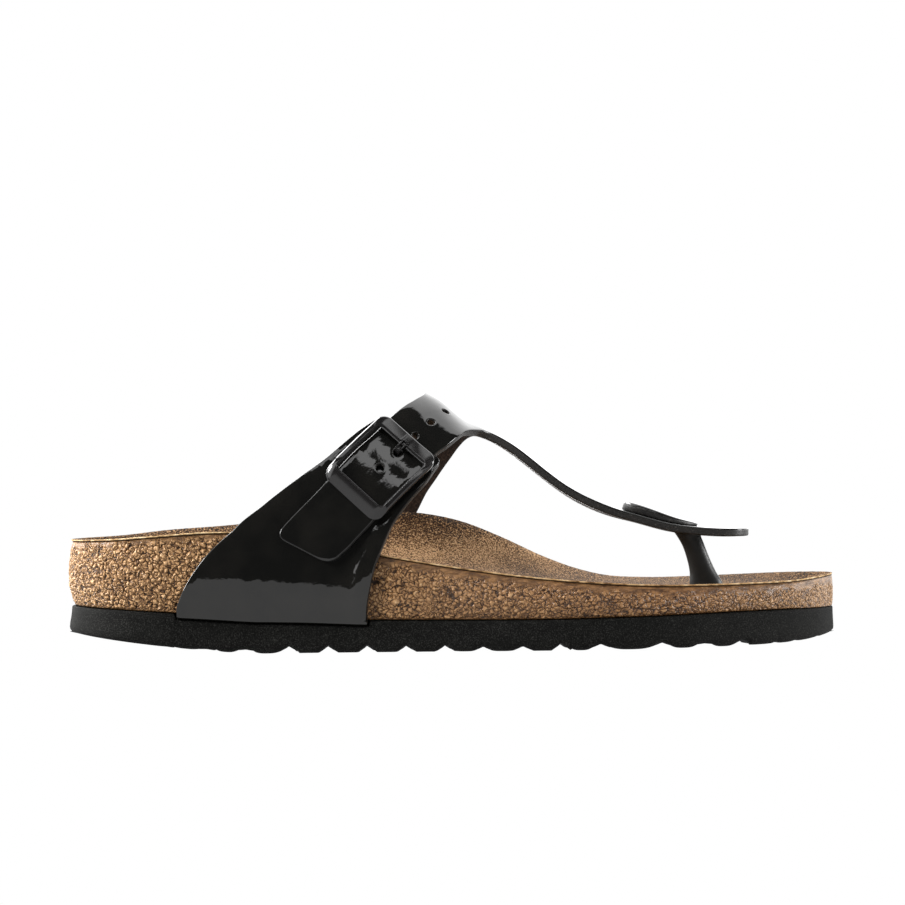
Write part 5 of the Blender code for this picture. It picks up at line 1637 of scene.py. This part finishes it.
# %% Toe post
POST_LENGTH = 10.3
POST_THICKNESS = 5.2
POST_LEAN = 6.6
POST_ROOT = 6.0
POST_PARTS = 24
# Share of the height, lean, length and width
POST = [
    (0.00, 0.87, 1.08, 1.05),
    (0.10, 0.85, 1.07, 1.00),
    (0.29, 0.705, 0.865, 0.95),
    (0.52, 0.49, 0.75, 0.92),
    (0.73, 0.25, 0.73, 0.92),
    (0.90, 0.00, 0.815, 0.98),
    (1.00, -0.10, 0.92, 1.06),
]


def oval(middle_x, middle_y, length, width, height, count=40):
    ring = []
    for angle in round_angles(count):
        x, y = middle_x + cos(angle) * length / 2, middle_y + sin(angle) * width / 2
        ring.append(Vector((x, y, height(x) if callable(height) else height)))
    return ring


def under_leg(x, sunk=0.05):
    return last_point(x / SOLE_LENGTH, 2.0).z - sunk


post_y = last_point(POST_AT, 2.0).y
foot_x = POST_AT * SOLE_LENGTH + POST_LEAN * POST[0][1]
foot_out, foot_in = (plan_edge(foot_x / SOLE_LENGTH, side) for side in ("out", "in"))
foot_z = dish(foot_x / SOLE_LENGTH, (2 * post_y - foot_out - foot_in) / (foot_in - foot_out))
head_z = under_leg(POST_AT * SOLE_LENGTH, 0.0)
post_rings = [oval(foot_x, post_y, POST_LENGTH, POST_THICKNESS, foot_z - POST_ROOT)]
for part in range(POST_PARTS + 1):
    share = part / POST_PARTS
    lean, length, width = (smooth(POST, column, share) for column in (1, 2, 3))
    middle = POST_AT * SOLE_LENGTH + POST_LEAN * lean

    def level(x, share=share):
        flat_level = foot_z + (head_z - foot_z) * share
        return flat_level * (1 - share ** 6) + under_leg(x) * share ** 6

    post_rings.append(oval(middle, post_y, POST_LENGTH * length, POST_THICKNESS * width, level))
stem_middle = POST_AT * SOLE_LENGTH + POST_LEAN * POST[-1][1]
stem = oval(stem_middle, post_y, STEM_LENGTH, STEM_THICKNESS, under_leg)
stem_off = normal(POST_AT, 2.0) * UPPER_THICKNESS
post_rings += [stem, [spot + stem_off for spot in stem]]
post = new_piece("rubber_toe_post", *stack(post_rings), [rubber])
post.data.set_sharp_from_angle(angle=radians(50))
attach(post, "root")
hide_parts("toe_post")

# %% Button over the post
BUTTON_AT = 0.772
BUTTON_LENGTH = 26.0
BUTTON_WIDTH = 15.5
BUTTON_REAR = 3.0
BUTTON_FRONT = 0.7


def button_point(size, angle, height):
    station = (BUTTON_AT * SOLE_LENGTH + cos(angle) * size * BUTTON_LENGTH / 2) / SOLE_LENGTH
    aside = sin(angle) * size * BUTTON_WIDTH / 2
    way = Vector((0, 1 if aside > 0 else -1, 0))
    girth = walk(station, 2.0, way, abs(aside))[1] if abs(aside) > 0.01 else 2.0
    share = 0.5 - 0.5 * cos(angle) * size
    thick = BUTTON_FRONT + (BUTTON_REAR - BUTTON_FRONT) * sin(share * pi / 2)
    return on_last(station, girth, UPPER_THICKNESS + (GAP + thick) * height - leg_twist(station, girth))


BUTTON_SECTION = [(0.05, 0.0), (0.5, 0.0), (0.93, 0.0), (0.985, 0.05), (1.0, 0.2), (1.0, 0.5),
                  (0.995, 0.72), (0.97, 0.88), (0.93, 0.96), (0.86, 1.01), (0.7, 1.06), (0.5, 1.10),
                  (0.28, 1.12), (0.08, 1.13)]
BUTTON_PARTS = 72
button_rings = [[button_point(size, angle, height) for angle in round_angles(BUTTON_PARTS)]
                for size, height in BUTTON_SECTION]
points, faces = stack(button_rings)
finish_of = np.zeros(len(faces), dtype=np.int32)
finish_of[BUTTON_PARTS * 3:BUTTON_PARTS * 6] = 1
button = new_piece("patent_button", points, faces, [patent, cut_side], finish_of)
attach(button, "root")
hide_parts("post_button")
